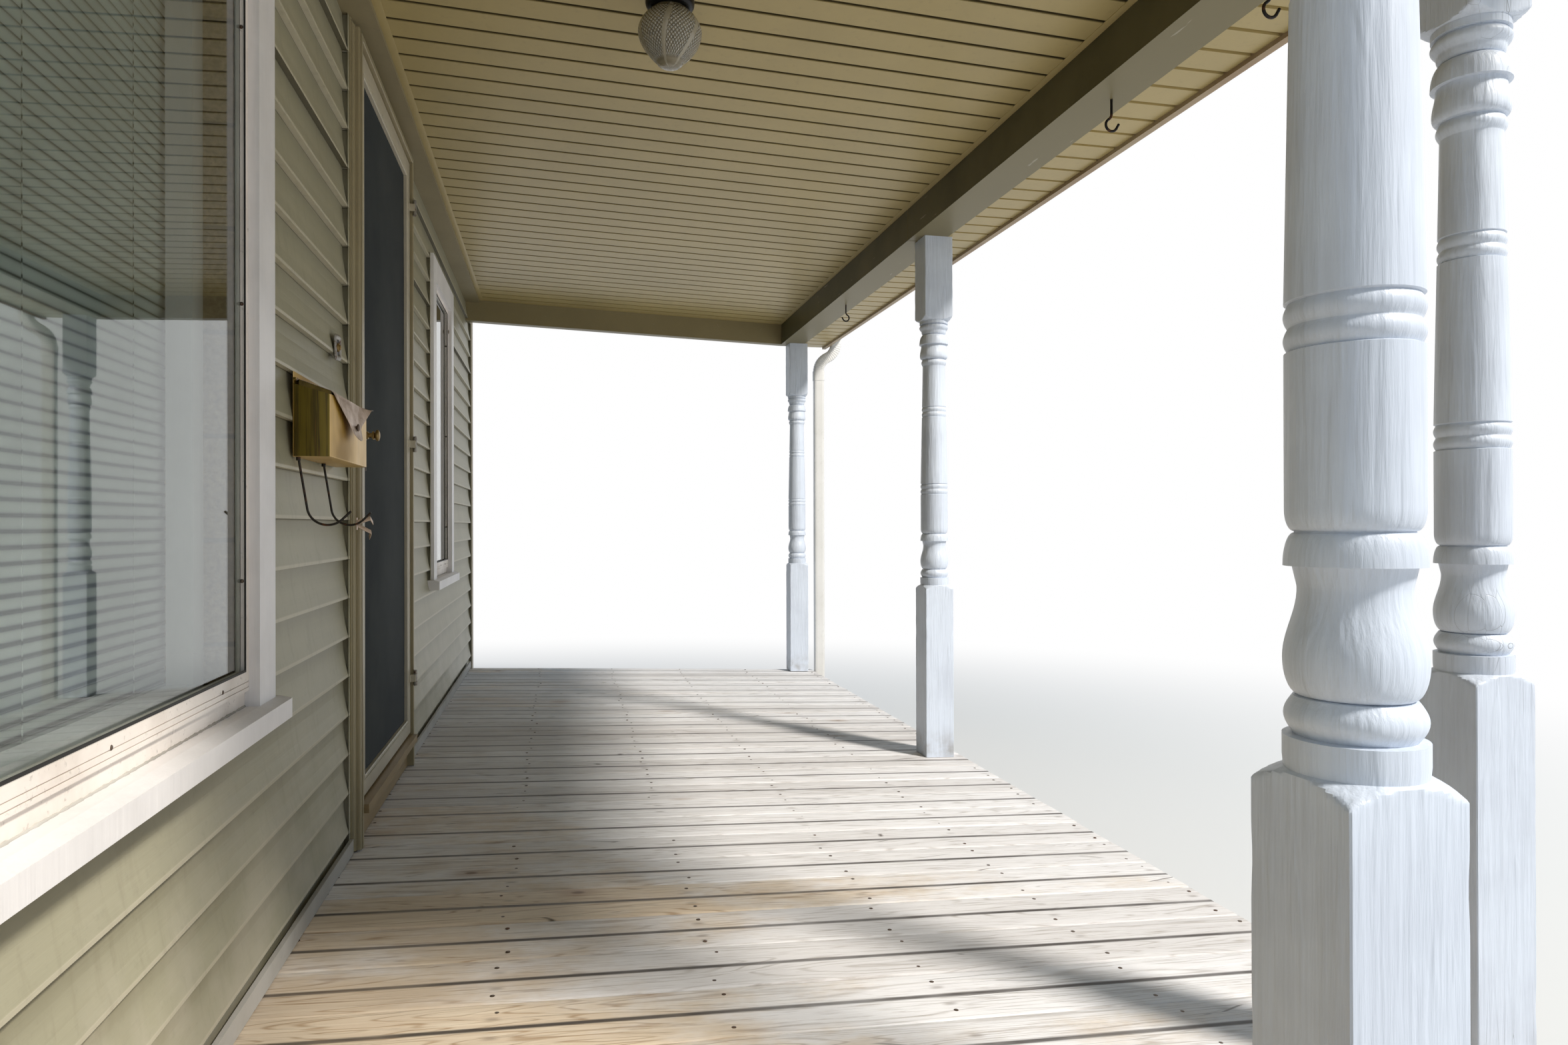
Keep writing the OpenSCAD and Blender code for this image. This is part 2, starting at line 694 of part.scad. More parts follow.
module mailbox_body() color("darkgoldenrod") {
    back_d = lid_pin_d + lid_barrel_r + 1;
    difference() {
        along_x(mail_x - mail_w / 2, mail_x + mail_w / 2, [
            [wall_y - mail_d0, mail_z0], [wall_y - mail_d0 - mail_d, mail_z0],
            [wall_y - mail_d0 - mail_d, lid_z(mail_d0 + mail_d) - 2 * seat],
            [wall_y - back_d, lid_z(back_d) - 2 * seat],
            [wall_y - back_d, lid_pin_z - lid_barrel_r - 3],
            [wall_y - mail_d0, lid_pin_z - lid_barrel_r - 3]]);
        out_block(mail_x - mail_w / 2 + mail_t, mail_x + mail_w / 2 - mail_t, mail_d0 + mail_t,
            mail_d0 + mail_d - mail_t, mail_z0 + mail_t, mail_z0 + mail_back);
    }
    out_block(mail_x - mail_w / 2, mail_x + mail_w / 2, mail_d0, mail_d0 + mail_t,
        mail_z0, mail_z0 + mail_back + back_lip);
    for (x = [mail_x - mail_w / 2, mail_x + mail_w / 2 - lid_ear])
        out_block(x, x + lid_ear, mail_d0, lid_pin_d + lid_pin_r, lid_pin_z - lid_pin_r - 1,
            lid_pin_z + lid_pin_r + 1);
    translate([mail_x - mail_w / 2, wall_y - lid_pin_d, lid_pin_z])
        rotate([0, 90, 0]) cylinder(r = lid_pin_r, h = mail_w);
}

// Lid with a front flap that narrows to a round tongue and its knob
module mailbox_lid() color("goldenrod") {
    front_d = mail_d0 + mail_d + 3;
    x0 = mail_x - mail_w / 2 + lid_ear + knuckle_gap;
    x1 = mail_x + mail_w / 2 - lid_ear - knuckle_gap;
    flap_top = lid_z(front_d);
    tongue = 18;
    flap = mail_w * 0.37;
    difference() {
        union() {
            along_x(x0, x1, [
                [wall_y - lid_pin_d, lid_z(lid_pin_d)], [wall_y - lid_pin_d, lid_z(lid_pin_d) + mail_t],
                [wall_y - front_d - mail_t, lid_z(front_d + mail_t) + mail_t],
                [wall_y - front_d - mail_t, flap_top], [wall_y - front_d, flap_top]]);
            translate([0, wall_y - front_d, 0]) rotate([90, 0, 0]) linear_extrude(mail_t) union() {
                polygon([[mail_x - flap, flap_top + eps], [mail_x + flap, flap_top + eps],
                    [mail_x + tongue, flap_top - mail_flap * 0.62],
                    [mail_x + tongue, flap_top - mail_flap + tongue],
                    [mail_x - tongue, flap_top - mail_flap + tongue],
                    [mail_x - tongue, flap_top - mail_flap * 0.62]]);
                translate([mail_x, flap_top - mail_flap + tongue]) circle(r = tongue);
            }
            translate([mail_x, wall_y - front_d - mail_t, flap_top - mail_flap * 0.5])
                rotate([90, 0, 0]) cylinder(r = 8, h = 6);
            translate([x0, wall_y - lid_pin_d, lid_pin_z])
                rotate([0, 90, 0]) cylinder(r = lid_barrel_r, h = x1 - x0);
        }
        translate([x0 - 1, wall_y - lid_pin_d, lid_pin_z])
            rotate([0, 90, 0]) cylinder(r = lid_pin_r + pin_play, h = x1 - x0 + 2);
    }
}

// A bend of round rod in the plane across the wall, from one angle over a turn
module rod_bend(r, bend, from, turn)
    rotate([90, 0, 90]) rotate([0, 0, from]) rotate_extrude(angle = turn)
        translate([bend, 0]) circle(r = r);

// A straight rod that leaves a bend at its inner (-1) or outer (1) side, leaning by an
// angle from the vertical, with a ball a little thicker than the rod where they join
module rod_end(r, bend, side, lean, length)
    rotate([lean, 0, 0]) translate([0, side * bend, 0]) {
        sphere(r = r + ball);
        cylinder(r = r, h = length);
    }

ball = 0.25;
paper_r = hook_r * 0.7;
paper_d = mail_d0 + 7;
paper_lean = 9;
paper_rise = 45;
paper_tip = 24;
bead_h = 7;

// Wire hooks for a newspaper: a bead, a leaning stem, a bend and a rising end
module newspaper_hooks() color("goldenrod")
    for (past = [0, paper_gap])
        translate([mail_x - mail_w / 2 + 16 + past, wall_y - paper_d, mail_z0 - seat]) {
            low = paper_drop - paper_bend;
            stem = (low + paper_bend * sin(paper_lean) - bead_h / 2) / cos(paper_lean);
            centre_y = -low * tan(paper_lean) - paper_bend / cos(paper_lean);
            translate([0, 0, -bead_h]) cylinder(r = 1.8 * paper_r, h = bead_h);
            translate([0, centre_y, -low]) {
                rod_end(paper_r, paper_bend, 1, -paper_lean, stem);
                rod_bend(paper_r, paper_bend, -90 - paper_rise, 90 + paper_rise - paper_lean);
                rod_end(paper_r, paper_bend, -1, 90 - paper_rise, paper_tip);
            }
        }

module doorbell_plate() color("silver")
    translate([door_x - door_w / 2 - mould_w - bell_gap, wall_y - lap_out - seat,
        mail_z0 + mail_back + back_lip + bell_rise]) {
        translate([-35, -4, -35]) cube([70, 4, 70]);
        translate([0, -4, 0]) rotate([90, 0, 0]) cylinder(r = 9, h = 8);
    }

// Turned posts: square blocks with rounded shoulders, rings, bulbs and a shaft

// A bead of half-round outline on radius r, from height z0 to z1
function bead(r, bulge, z0, z1, n = 6) =
    [for (i = [0 : n]) [r + bulge * sin(180 * i / n), z0 + (z1 - z0) * i / n]];

// A smooth sweep of radius from r0 to r1
function sweep(r0, r1, z0, z1, n = 7) =
    [for (i = [0 : n]) [r0 + (r1 - r0) * (1 - cos(180 * i / n)) / 2, z0 + (z1 - z0) * i / n]];

// A quarter round that leaves r0 upright and turns in to r1
function turn_in(r0, r1, z0, z1, n = 6) =
    [for (i = [0 : n]) [r1 + (r0 - r1) * cos(90 * i / n), z0 + (z1 - z0) * sin(90 * i / n)]];

// A quarter round that leaves r0 level and turns upright at r1
function turn_up(r0, r1, z0, z1, n = 6) =
    [for (i = [0 : n]) [r0 + (r1 - r0) * sin(90 * i / n), z0 + (z1 - z0) * (1 - cos(90 * i / n))]];

// Two beads side by side, sunk level with the shaft of radius r round them
function twin_beads(r, z0, z1) = concat(
    [[r, z0]],
    bead(r - 3, 3.5, z0, (z0 + z1) / 2),
    bead(r - 3, 3.5, (z0 + z1) / 2, z1),
    [[r, z1]]);

half = post / 2;

// Turned outline between the blocks, with heights as shares of the turned length
function turned_outline(z0, z1) =
    let (h = z1 - z0, at = function (s) z0 + s * h,
        shaft = function (s) shaft_r + (shaft_top_r - shaft_r) * max(0, s - 0.385) / 0.445)
    concat(
        [[0, z0 - 1]],
        [[half * 0.965, z0 - 1], [half * 0.965, at(0.027)]],
        bead(half * 0.82, half * 0.125, at(0.028), at(0.059)),
        turn_up(half * 0.74, half * 0.955, at(0.060), at(0.090)),
        sweep(half * 0.955, half * 0.755, at(0.090), at(0.148)),
        [[half * 0.82, at(0.166)]],
        turn_in(half * 0.945, half * 0.79, at(0.1665), at(0.194)),
        turn_up(half * 0.79, shaft_r, at(0.195), at(0.213)),
        twin_beads(shaft(0.34), at(0.343), at(0.384)),
        twin_beads(shaft(0.655), at(0.636), at(0.676)),
        [[shaft(0.83), at(0.830)]],
        bead(half * 0.765, half * 0.09, at(0.831), at(0.856)),
        turn_up(half * 0.81, half * 0.95, at(0.857), at(0.870)),
        sweep(half * 0.95, half * 0.855, at(0.870), at(0.911)),
        turn_in(half * 0.985, half * 0.725, at(0.912), at(0.949)),
        turn_up(half * 0.725, half * 0.84, at(0.950), at(0.963)),
        bead(half * 0.86, half * 0.125, at(0.965), at(0.988)),
        [[half * 0.97, at(0.989)], [half * 0.97, z1 + 1], [0, z1 + 1]]);

shoulder = 22;
corner_r = half * sqrt(2);

// Block edges rounded over by the lathe, towards the turned part above or below
module shoulder_cut(z0, up)
    translate([0, 0, z0]) mirror([0, 0, up ? 0 : 1])
        rotate_extrude() polygon(concat(
            [[0, -1]],
            [[corner_r + 1, -1]],
            [for (i = [0 : 8])
                [half * 0.95 + (corner_r + 1 - half * 0.95) * cos(90 * i / 8), shoulder * i / 8]],
            [[0, shoulder]]));

module turned_post(x, d, top = beam_bottom) {
    foot = deck_z(d);
    base_top = foot + base_block;
    head_bottom = top - top_block;
    color("white") {
        along_x(x - half, x + half, [
            [wall_y - d + half, deck_z(d - half)], [wall_y - d - half, deck_z(d + half)],
            [wall_y - d - half, base_top - shoulder], [wall_y - d + half, base_top - shoulder]]);
        intersection() {
            translate([x, wall_y - d, 0]) shoulder_cut(base_top - shoulder, true);
            translate([x - half, wall_y - d - half, base_top - shoulder - eps])
                cube([post, post, shoulder + eps]);
        }
        translate([x, wall_y - d, 0]) rotate_extrude() polygon(turned_outline(base_top, head_bottom));
        intersection() {
            translate([x, wall_y - d, 0]) shoulder_cut(head_bottom + shoulder, false);
            translate([x - half, wall_y - d - half, head_bottom])
                cube([post, post, shoulder + eps]);
        }
        translate([x - half, wall_y - d - half, head_bottom + shoulder])
            cube([post, post, top_block - shoulder]);
    }
}

module far_corner_post() turned_post(far_x, post_out);
module middle_post() turned_post(middle_x, post_out);
module third_post() turned_post(third_x, post_out);
module near_corner_post() turned_post(near_x, post_out);

// The post between the wall and the corner, cut to the end beam's falling underside
module near_end_post()
    intersection() {
        turned_post(near_x, near_post_out, ceil_z(near_post_out - half) - beam_face);
        ceiling_slab(near_x - post, near_x + post, near_post_out - post, near_post_out + post,
            -deck_h - beam_z, -beam_face);
    }

// Beams, ceiling, eaves and roof

module front_beam() color("darkolivegreen")
    along_x(deck_x0, deck_x1, [
        [wall_y - beam_in, beam_bottom], [wall_y - beam_out, beam_bottom],
        [wall_y - beam_out, roof_z(beam_out)], [wall_y - beam_in, roof_z(beam_in)]]);

end_beam_top = soffit_t + 20;

module end_beams() color("darkolivegreen")
    for (x = [deck_x0, deck_x1 - end_beam_t])
        ceiling_slab(x, x + end_beam_t, 0, beam_in, -beam_face, end_beam_top);

module roof_end_panels() color("tan")
    for (x = [deck_x0, deck_x1 - end_panel_t])
        along_x(x, x + end_panel_t, [
            [wall_y, ceil_z(0) + end_beam_top], [wall_y - beam_in, ceil_z(beam_in) + end_beam_top],
            [wall_y - beam_in, roof_z(beam_in)], [wall_y, roof_z(0)]]);

module wall_ledger_board() color("rosybrown")
    ceiling_slab(deck_x0 + end_beam_t, deck_x1 - end_beam_t, 0, ledger_w, -ledger_t, soffit_t);

// Soffit sheet with open grooves across it every pitch
module porch_ceiling() color("tan")
    difference() {
        ceiling_slab(deck_x0 + end_beam_t, deck_x1 - end_beam_t, ledger_w, beam_in, 0, soffit_t);
        for (x = [deck_x1 - end_beam_t - groove_first : -groove_pitch : deck_x0 + end_beam_t + groove_w])
            ceiling_slab(x - groove_w, x, ledger_w - 1, beam_in + 1, -1, soffit_t * 0.6);
    }

module eave_soffit() color("tan")
    difference() {
        out_block(deck_x0, deck_x1, beam_out, fascia_d, beam_bottom, beam_bottom + soffit_t);
        for (x = [deck_x1 - groove_pitch : -groove_pitch : deck_x0 + groove_w])
            out_block(x - groove_w, x, beam_out - 1, fascia_d + 1, beam_bottom - 1,
                beam_bottom + soffit_t * 0.6);
    }

// Front board, its top bevelled to the roof, and returns that close the eave's ends
module fascia() color("tan") {
    along_x(deck_x0, deck_x1, [
        [wall_y - fascia_d, fascia_z0], [wall_y - roof_out, fascia_z0],
        [wall_y - roof_out, roof_z(roof_out)], [wall_y - fascia_d, roof_z(fascia_d)]]);
    for (x = [deck_x0, deck_x1 - fascia_t])
        along_x(x, x + fascia_t, [
            [wall_y - beam_out, beam_bottom + soffit_t], [wall_y - fascia_d, beam_bottom + soffit_t],
            [wall_y - fascia_d, roof_z(fascia_d)], [wall_y - beam_out, roof_z(beam_out)]]);
}

gutter_d0 = roof_out;
gutter_z0 = roof_z(roof_out + roof_drip) - gutter_h - 1;

// Gutter outline with its curved front, as distances off the fascia and heights
function gutter_outline(inset) = concat(
    [[inset, inset], [gutter_floor, inset]],
    [for (i = [0 : 6])
        [gutter_floor + (gutter_w - gutter_floor - inset) * (1 - cos(90 * i / 6)),
            20 + (gutter_h - 40) * sin(90 * i / 6)]],
    [[gutter_w - inset, gutter_h + (inset > 0 ? 1 : 0)], [inset, gutter_h + (inset > 0 ? 1 : 0)]]);

module gutter_run(x0, x1, inset)
    along_x(x0, x1, [for (p = gutter_outline(inset)) [wall_y - gutter_d0 - p[0], gutter_z0 + p[1]]]);

outlet_x = far_x;
outlet_d = gutter_d0 + gutter_floor - spout_w / 2 - gutter_t;

module gutter() color("white")
    difference() {
        gutter_run(deck_x0, deck_x1, 0);
        gutter_run(deck_x0 + gutter_t, deck_x1 - gutter_t, gutter_t);
    }

// Downspout: an outlet, two elbows that bring it in to the deck's edge, and the pipe
spout_out = deck_out + 10 + spout_w / 2;
elbow_turn = acos(1 - (outlet_d - spout_out) / (2 * elbow_r));
elbow_top = gutter_z0 - 35;
elbow_low = elbow_top - 2 * elbow_r * sin(elbow_turn);
sleeve = 3;

module spout_box(d, z0, z1, grow = 0)
    translate([outlet_x - spout_d / 2 - grow, wall_y - d - spout_w / 2 - grow, z0])
        cube([spout_d + 2 * grow, spout_w + 2 * grow, z1 - z0]);

module spout_bend(y, z, from)
    translate([outlet_x, y, z]) rotate([90, 0, 90]) rotate([0, 0, from])
        rotate_extrude(angle = elbow_turn) translate([elbow_r - spout_w / 2, -spout_d / 2])
            square([spout_w, spout_d]);

module downspout() color("white") {
    spout_box(outlet_d, elbow_top, gutter_z0);
    spout_bend(wall_y - outlet_d + elbow_r, elbow_top, 180);
    spout_bend(wall_y - spout_out - elbow_r, elbow_low, 0);
    spout_box(spout_out, elbow_low - 60, elbow_low, sleeve);
    spout_box(spout_out, 60, elbow_low - 60 + eps);
}

module roof_slope() color("dimgray")
    along_x(deck_x0 - roof_drip, deck_x1 + roof_drip, [
        [wall_y, roof_z(0)], [wall_y - roof_out - roof_drip, roof_z(roof_out + roof_drip)],
        [wall_y - roof_out - roof_drip, roof_z(roof_out + roof_drip) + roof_t],
        [wall_y, roof_z(0) + roof_t]]);

// Fittings under the roof

light_z = ceil_z(light_out + holder_r) - seat;

module light_holder() color("black")
    translate([light_x, wall_y - light_out, light_z - holder_h])
        rotate_extrude() polygon(concat(
            [[0, 0], [holder_r - 14, 0]], turn_up(holder_r - 14, holder_r, 0, 16),
            [[holder_r, holder_h], [0, holder_h]]));

// Pressed glass shade, a thin shell that narrows from a wide shoulder to a small tip
shade_wall = 4;
tip_r = 20;
shoulder_t = 0.36;
function shade_out(t) = t < shoulder_t
    ? neck_r + (shade_r - neck_r) * sin(90 * t / shoulder_t)
    : tip_r + (shade_r - tip_r) * (1 - pow((t - shoulder_t) / (1 - shoulder_t), 1.7));

module light_shade() color("lightyellow", 0.6)
    translate([light_x, wall_y - light_out, light_z - holder_h - seat])
        rotate_extrude() polygon(concat(
            [for (i = [0 : 20]) [shade_out(i / 20), -shade_h * i / 20]],
            [[0, -shade_h - 3], [0, -shade_h + shade_wall]],
            [for (i = [19 : -1 : 0]) [shade_out(i / 20) - shade_wall, -shade_h * i / 20]]));

hook_d = beam_in + beam_w * 0.6;

// Screw hooks: a stem, a bend back and a round hook that ends below the stem
module plant_hooks() color("black")
    for (h = [[third_x + hook_1, -1], [third_x + hook_2, -1], [middle_x + hook_3, 1]])
        translate([h[0], wall_y - hook_d, beam_bottom]) mirror([0, h[1] > 0 ? 1 : 0, 0]) {
            translate([0, hook_bend, -hook_stem]) {
                rod_end(hook_r, hook_bend, -1, 0, hook_stem);
                rod_bend(hook_r, hook_bend, 180, 60);
            }
            translate([0, 0, -hook_stem - 2 * hook_bend * sin(60)]) {
                rod_bend(hook_r, hook_bend, -150, 210);
                rod_end(hook_r, hook_bend, -1, 30, hook_tail);
                rod_end(hook_r, hook_bend, 1, 60, 0.1);
            }
        }

foundation();
deck_piers();
deck_frame();
deck_boards();
step_stringers();
step_treads();
wall_full_height();
wall_at_openings();
siding();
corner_trim();
base_trim();
window_casings();
window_sills();
window_sashes();
window_glass();
window_blinds();
door_moulding();
door_jambs();
door_kick_board();
entry_door();
storm_door_frame();
storm_door_screen();
storm_door_handle();
storm_door_hinges();
mailbox_body();
mailbox_lid();
newspaper_hooks();
doorbell_plate();
far_corner_post();
middle_post();
third_post();
near_corner_post();
near_end_post();
front_beam();
end_beams();
wall_ledger_board();
porch_ceiling();
eave_soffit();
fascia();
gutter();
downspout();
roof_end_panels();
roof_slope();
light_holder();
light_shade();
plant_hooks();
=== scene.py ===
import math

import bpy
import numpy as np
from mathutils import Matrix, Vector


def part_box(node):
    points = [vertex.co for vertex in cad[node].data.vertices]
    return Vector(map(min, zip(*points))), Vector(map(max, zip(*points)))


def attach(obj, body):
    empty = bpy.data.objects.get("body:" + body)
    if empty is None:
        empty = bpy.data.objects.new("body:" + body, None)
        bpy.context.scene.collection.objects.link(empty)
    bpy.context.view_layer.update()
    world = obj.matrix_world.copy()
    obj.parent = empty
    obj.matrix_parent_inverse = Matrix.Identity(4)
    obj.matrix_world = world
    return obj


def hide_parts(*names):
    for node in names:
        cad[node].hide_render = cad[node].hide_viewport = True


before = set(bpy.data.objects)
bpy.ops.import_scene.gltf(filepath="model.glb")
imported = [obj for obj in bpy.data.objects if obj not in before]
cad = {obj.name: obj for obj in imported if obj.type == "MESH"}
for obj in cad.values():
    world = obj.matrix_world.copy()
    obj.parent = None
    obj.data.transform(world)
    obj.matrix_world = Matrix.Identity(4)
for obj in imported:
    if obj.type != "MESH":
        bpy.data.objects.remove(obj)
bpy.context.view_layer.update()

wallY = -0.1  # face of the sheathing; "out" is a distance from it towards the street


def stageNote(text):
    print("porch:", text)


# what pieces and materials share: levels and falls of deck and ceiling and the mailbox's place, then the
# pitch of each thing that comes in rows, where its marks start, and the nails' place as a share of a pitch
site = {"deck": 0.460, "deckFall": 0.038, "ceil": 2.591, "ceilFall": 0.036, "ceilEdge": 1.930,
        "mailboxX": -1.023, "mailboxLow": 1.456, "lidPin": 1.617}
repeat = {"board": 0.187, "seam": 0.147, "nail": 0.179, "joist": 0.4164, "firstJoist": 0.019,
          "siding": 0.1016, "sidingFoot": 0.515, "slat": 0.020, "slatLap": -0.0070, "wallBoard": 0.184}


def deckZ(out):
    return site["deck"] - site["deckFall"] * out


def ceilZ(out):
    return site["ceil"] + site["ceilFall"] * (site["ceilEdge"] - out)


# camera and light
camera = {"spot": (-3.41, -0.655, 1.313), "yaw": 0.2239, "pitch": 0.0022, "roll": -0.0025, "lens": 22.5}


def makeCamera(c):
    yaw, pitch, roll = c["yaw"], c["pitch"], c["roll"]
    ahead = Vector((math.cos(yaw) * math.cos(pitch), -math.sin(yaw) * math.cos(pitch), math.sin(pitch)))
    right = Vector((-math.sin(yaw), -math.cos(yaw), 0))
    up = right.cross(ahead)
    side = right * math.cos(roll) + up * math.sin(roll)
    top = up * math.cos(roll) - right * math.sin(roll)
    lens = bpy.data.cameras.new("porchView")
    lens.lens, lens.sensor_width, lens.sensor_fit = c["lens"], 36.0, "HORIZONTAL"
    lens.clip_start, lens.clip_end = 0.02, 200
    obj = bpy.data.objects.new("porchView", lens)
    bpy.context.scene.collection.objects.link(obj)
    turn = Matrix((side, top, -ahead)).transposed().to_4x4()
    obj.matrix_world = Matrix.Translation(c["spot"]) @ turn
    bpy.context.scene.camera = obj


makeCamera(camera)

light = {
    "sunSpot": (-10.8, -10.9, 14.2), "sunAim": (0.3, -1.4, 0.6), "sunSize": 2.6, "sunPower": 4550,
    "sunColour": (1.0, 0.96, 0.90), "skyColour": (0.62, 0.80, 1.0), "skyLevel": 0.39, "backdrop": 1.0,
    "floor": (0.72, 0.72, 0.71), "floorFade": (3.8, 8.5)}


def makeLight(v):
    lamp = bpy.data.lights.new("softSun", "AREA")
    lamp.shape, lamp.size, lamp.energy = "DISK", v["sunSize"], v["sunPower"]
    lamp.color = v["sunColour"]
    obj = bpy.data.objects.new("softSun", lamp)
    bpy.context.scene.collection.objects.link(obj)
    spot = Vector(v["sunSpot"])
    obj.matrix_world = Matrix.Translation(spot) @ (
        Vector(v["sunAim"]) - spot).to_track_quat("-Z", "Y").to_matrix().to_4x4()
    world = bpy.data.worlds.new("studio")
    bpy.context.scene.world = world
    world.use_nodes = True
    tree = world.node_tree
    ray = tree.nodes.new("ShaderNodeLightPath")
    seen = tree.nodes.new("ShaderNodeMath")
    seen.operation = "MAXIMUM"
    either = tree.nodes.new("ShaderNodeMath")
    either.operation = "MAXIMUM"
    strength = tree.nodes.new("ShaderNodeMapRange")
    tree.links.new(ray.outputs["Is Camera Ray"], seen.inputs[0])
    tree.links.new(ray.outputs["Is Glossy Ray"], seen.inputs[1])
    tree.links.new(seen.outputs[0], either.inputs[0])
    tree.links.new(ray.outputs["Is Transmission Ray"], either.inputs[1])
    tree.links.new(either.outputs[0], strength.inputs["Value"])
    strength.inputs["To Min"].default_value = v["skyLevel"]
    strength.inputs["To Max"].default_value = v["backdrop"]
    hue = tree.nodes.new("ShaderNodeMix")
    hue.data_type = "RGBA"
    hue.inputs[6].default_value = (*v["skyColour"], 1)
    hue.inputs[7].default_value = (1, 1, 1, 1)
    tree.links.new(either.outputs[0], hue.inputs[0])
    sky = tree.nodes["Background"]
    tree.links.new(hue.outputs[2], sky.inputs["Color"])
    tree.links.new(strength.outputs[0], sky.inputs["Strength"])


makeLight(light)
bpy.context.scene.view_settings.view_transform = "Standard"


lamp = {"x": -1.010, "out": 0.818, "top": 2.5743, "tall": 0.138, "lensDrop": 0.003, "neck": 0.043,
        "wide": 0.078, "tip": 0.0235, "turn": 0.40, "taper": 1.8, "wall": 0.003, "panels": 6, "lean": 0.5,
        "rib": 0.0012, "ribFrom": 0.80, "ribFull": 0.92, "lip": 0.0020, "lipAt": 0.972}


# materials, each under the name it was asked for
mats = {}


def tint(r, g, b):
    # screen colour 0-255 to the linear value a shader takes
    return tuple(((c / 255 + 0.055) / 1.055) ** 2.4 if c > 10 else c / 255 / 12.92 for c in (r, g, b))


def shade(colour, share):
    return tint(*(int(c * share) for c in colour))


class Finish:
    # a material being wired: each call adds one node and gives back its output
    def __init__(self, name, **fixed):
        self.mat = mats[name] = bpy.data.materials.new(name)
        self.mat.use_nodes = True
        self.tree = self.mat.node_tree
        self.shader = self.tree.nodes["Principled BSDF"]
        for socket, value in fixed.items():
            self.shader.inputs[socket.replace("_", " ")].default_value = value
        self.place = self.add("ShaderNodeTexCoord").outputs["Object"]
        self.axes = self.add("ShaderNodeSeparateXYZ", {"Vector": self.place}).outputs
        self.height = None

    def add(self, kind, inputs=None, **settings):
        node = self.tree.nodes.new(kind)
        for key, value in settings.items():
            setattr(node, key, value)
        for key, value in (inputs or {}).items():
            self.plug(node.inputs[key], value)
        return node

    def plug(self, socket, value):
        if isinstance(value, bpy.types.NodeSocket):
            self.tree.links.new(value, socket)
        elif socket.type == "RGBA":
            socket.default_value = (*value, 1) if isinstance(value, tuple) else (value, value, value, 1)
        else:
            socket.default_value = value

    def at(self, stretch, shift, place):
        return self.add("ShaderNodeMapping", {
            "Vector": place or self.place, "Scale": stretch, "Location": shift}).outputs[0]

    def noise(self, scale, detail=3, rough=0.55, stretch=(1, 1, 1), shift=(0, 0, 0), twist=0.0, place=None):
        return self.add("ShaderNodeTexNoise", {
            "Vector": self.at(stretch, shift, place), "Scale": scale, "Detail": detail,
            "Roughness": rough, "Distortion": twist}).outputs["Fac"]

    def cells(self, scale, feature="F1", stretch=(1, 1, 1), shift=(0, 0, 0), place=None):
        return self.add("ShaderNodeTexVoronoi", {
            "Vector": self.at(stretch, shift, place), "Scale": scale},
            feature=feature).outputs["Distance"]

    def calc(self, how, a, b=0.0, clamp=False):
        node = self.add("ShaderNodeMath", operation=how, use_clamp=clamp)
        for socket, value in zip(node.inputs, (a, b)):
            self.plug(socket, value)
        return node.outputs[0]

    def times(self, a, b):
        return self.calc("MULTIPLY", a, b)

    def plus(self, a, b, clamp=False):
        return self.calc("ADD", a, b, clamp=clamp)

    def minus(self, a, b):
        return self.calc("SUBTRACT", a, b)

    def parts(self, a, b):
        return self.calc("DIVIDE", a, b)

    def most(self, a, b):
        return self.calc("MAXIMUM", a, b)

    def size(self, a):
        return self.calc("ABSOLUTE", a)

    def fract(self, a):
        return self.calc("FRACT", a)

    def step(self, value, low, high, outLow=0.0, outHigh=1.0):
        # a smooth rise from outLow to outHigh as value goes from low to high
        return self.add("ShaderNodeMapRange", {
            "Value": value, "From Min": low, "From Max": high, "To Min": outLow, "To Max": outHigh},
            interpolation_type="SMOOTHSTEP").outputs[0]

    def mix(self, share, a, b):
        node = self.add("ShaderNodeMix", data_type="RGBA")
        self.plug(node.inputs[0], share)
        self.plug(node.inputs[6], a)
        self.plug(node.inputs[7], b)
        return node.outputs[2]

    def coat(self, base, colour, share, much=None):
        # a layer of colour over base where share says, thinned by much
        return self.mix(share if much is None else self.times(share, much), base, tint(*colour))

    def blend(self, value, low, high, first, second):
        return self.mix(self.step(value, low, high), tint(*first), tint(*second))

    def facing(self):
        # the way the surface faces, by axis
        normal = self.add("ShaderNodeNewGeometry").outputs["True Normal"]
        return self.add("ShaderNodeSeparateXYZ", {"Vector": normal}).outputs

    def off(self, axis, pitch, shift=0.0):
        # 0.5 on each mark that stands a pitch from the next, 0 half way between two; the hundred pitches
        # keep the sum above nought
        turns = self.fract(self.parts(self.plus(axis, shift + 100 * pitch), pitch))
        return self.size(self.minus(turns, 0.5))

    def wave(self, axis, pitch, width, shift=0.0):
        # 1 near each mark, falling to 0 at the given width to either side of it
        return self.step(self.off(axis, pitch, shift), 0.5 - width / pitch, 0.5 - 0.3 * width / pitch)

    def bump(self, height, strength, distance=0.001):
        extra = {"Normal": self.height} if self.height else {}
        self.height = self.add("ShaderNodeBump", {
            "Height": height, "Strength": strength, "Distance": distance, **extra}).outputs[0]

    def done(self, colour, roughness=None):
        self.plug(self.shader.inputs["Base Color"], colour)
        if roughness is not None:
            self.plug(self.shader.inputs["Roughness"], roughness)
        if self.height:
            self.plug(self.shader.inputs["Normal"], self.height)
        return self.mat


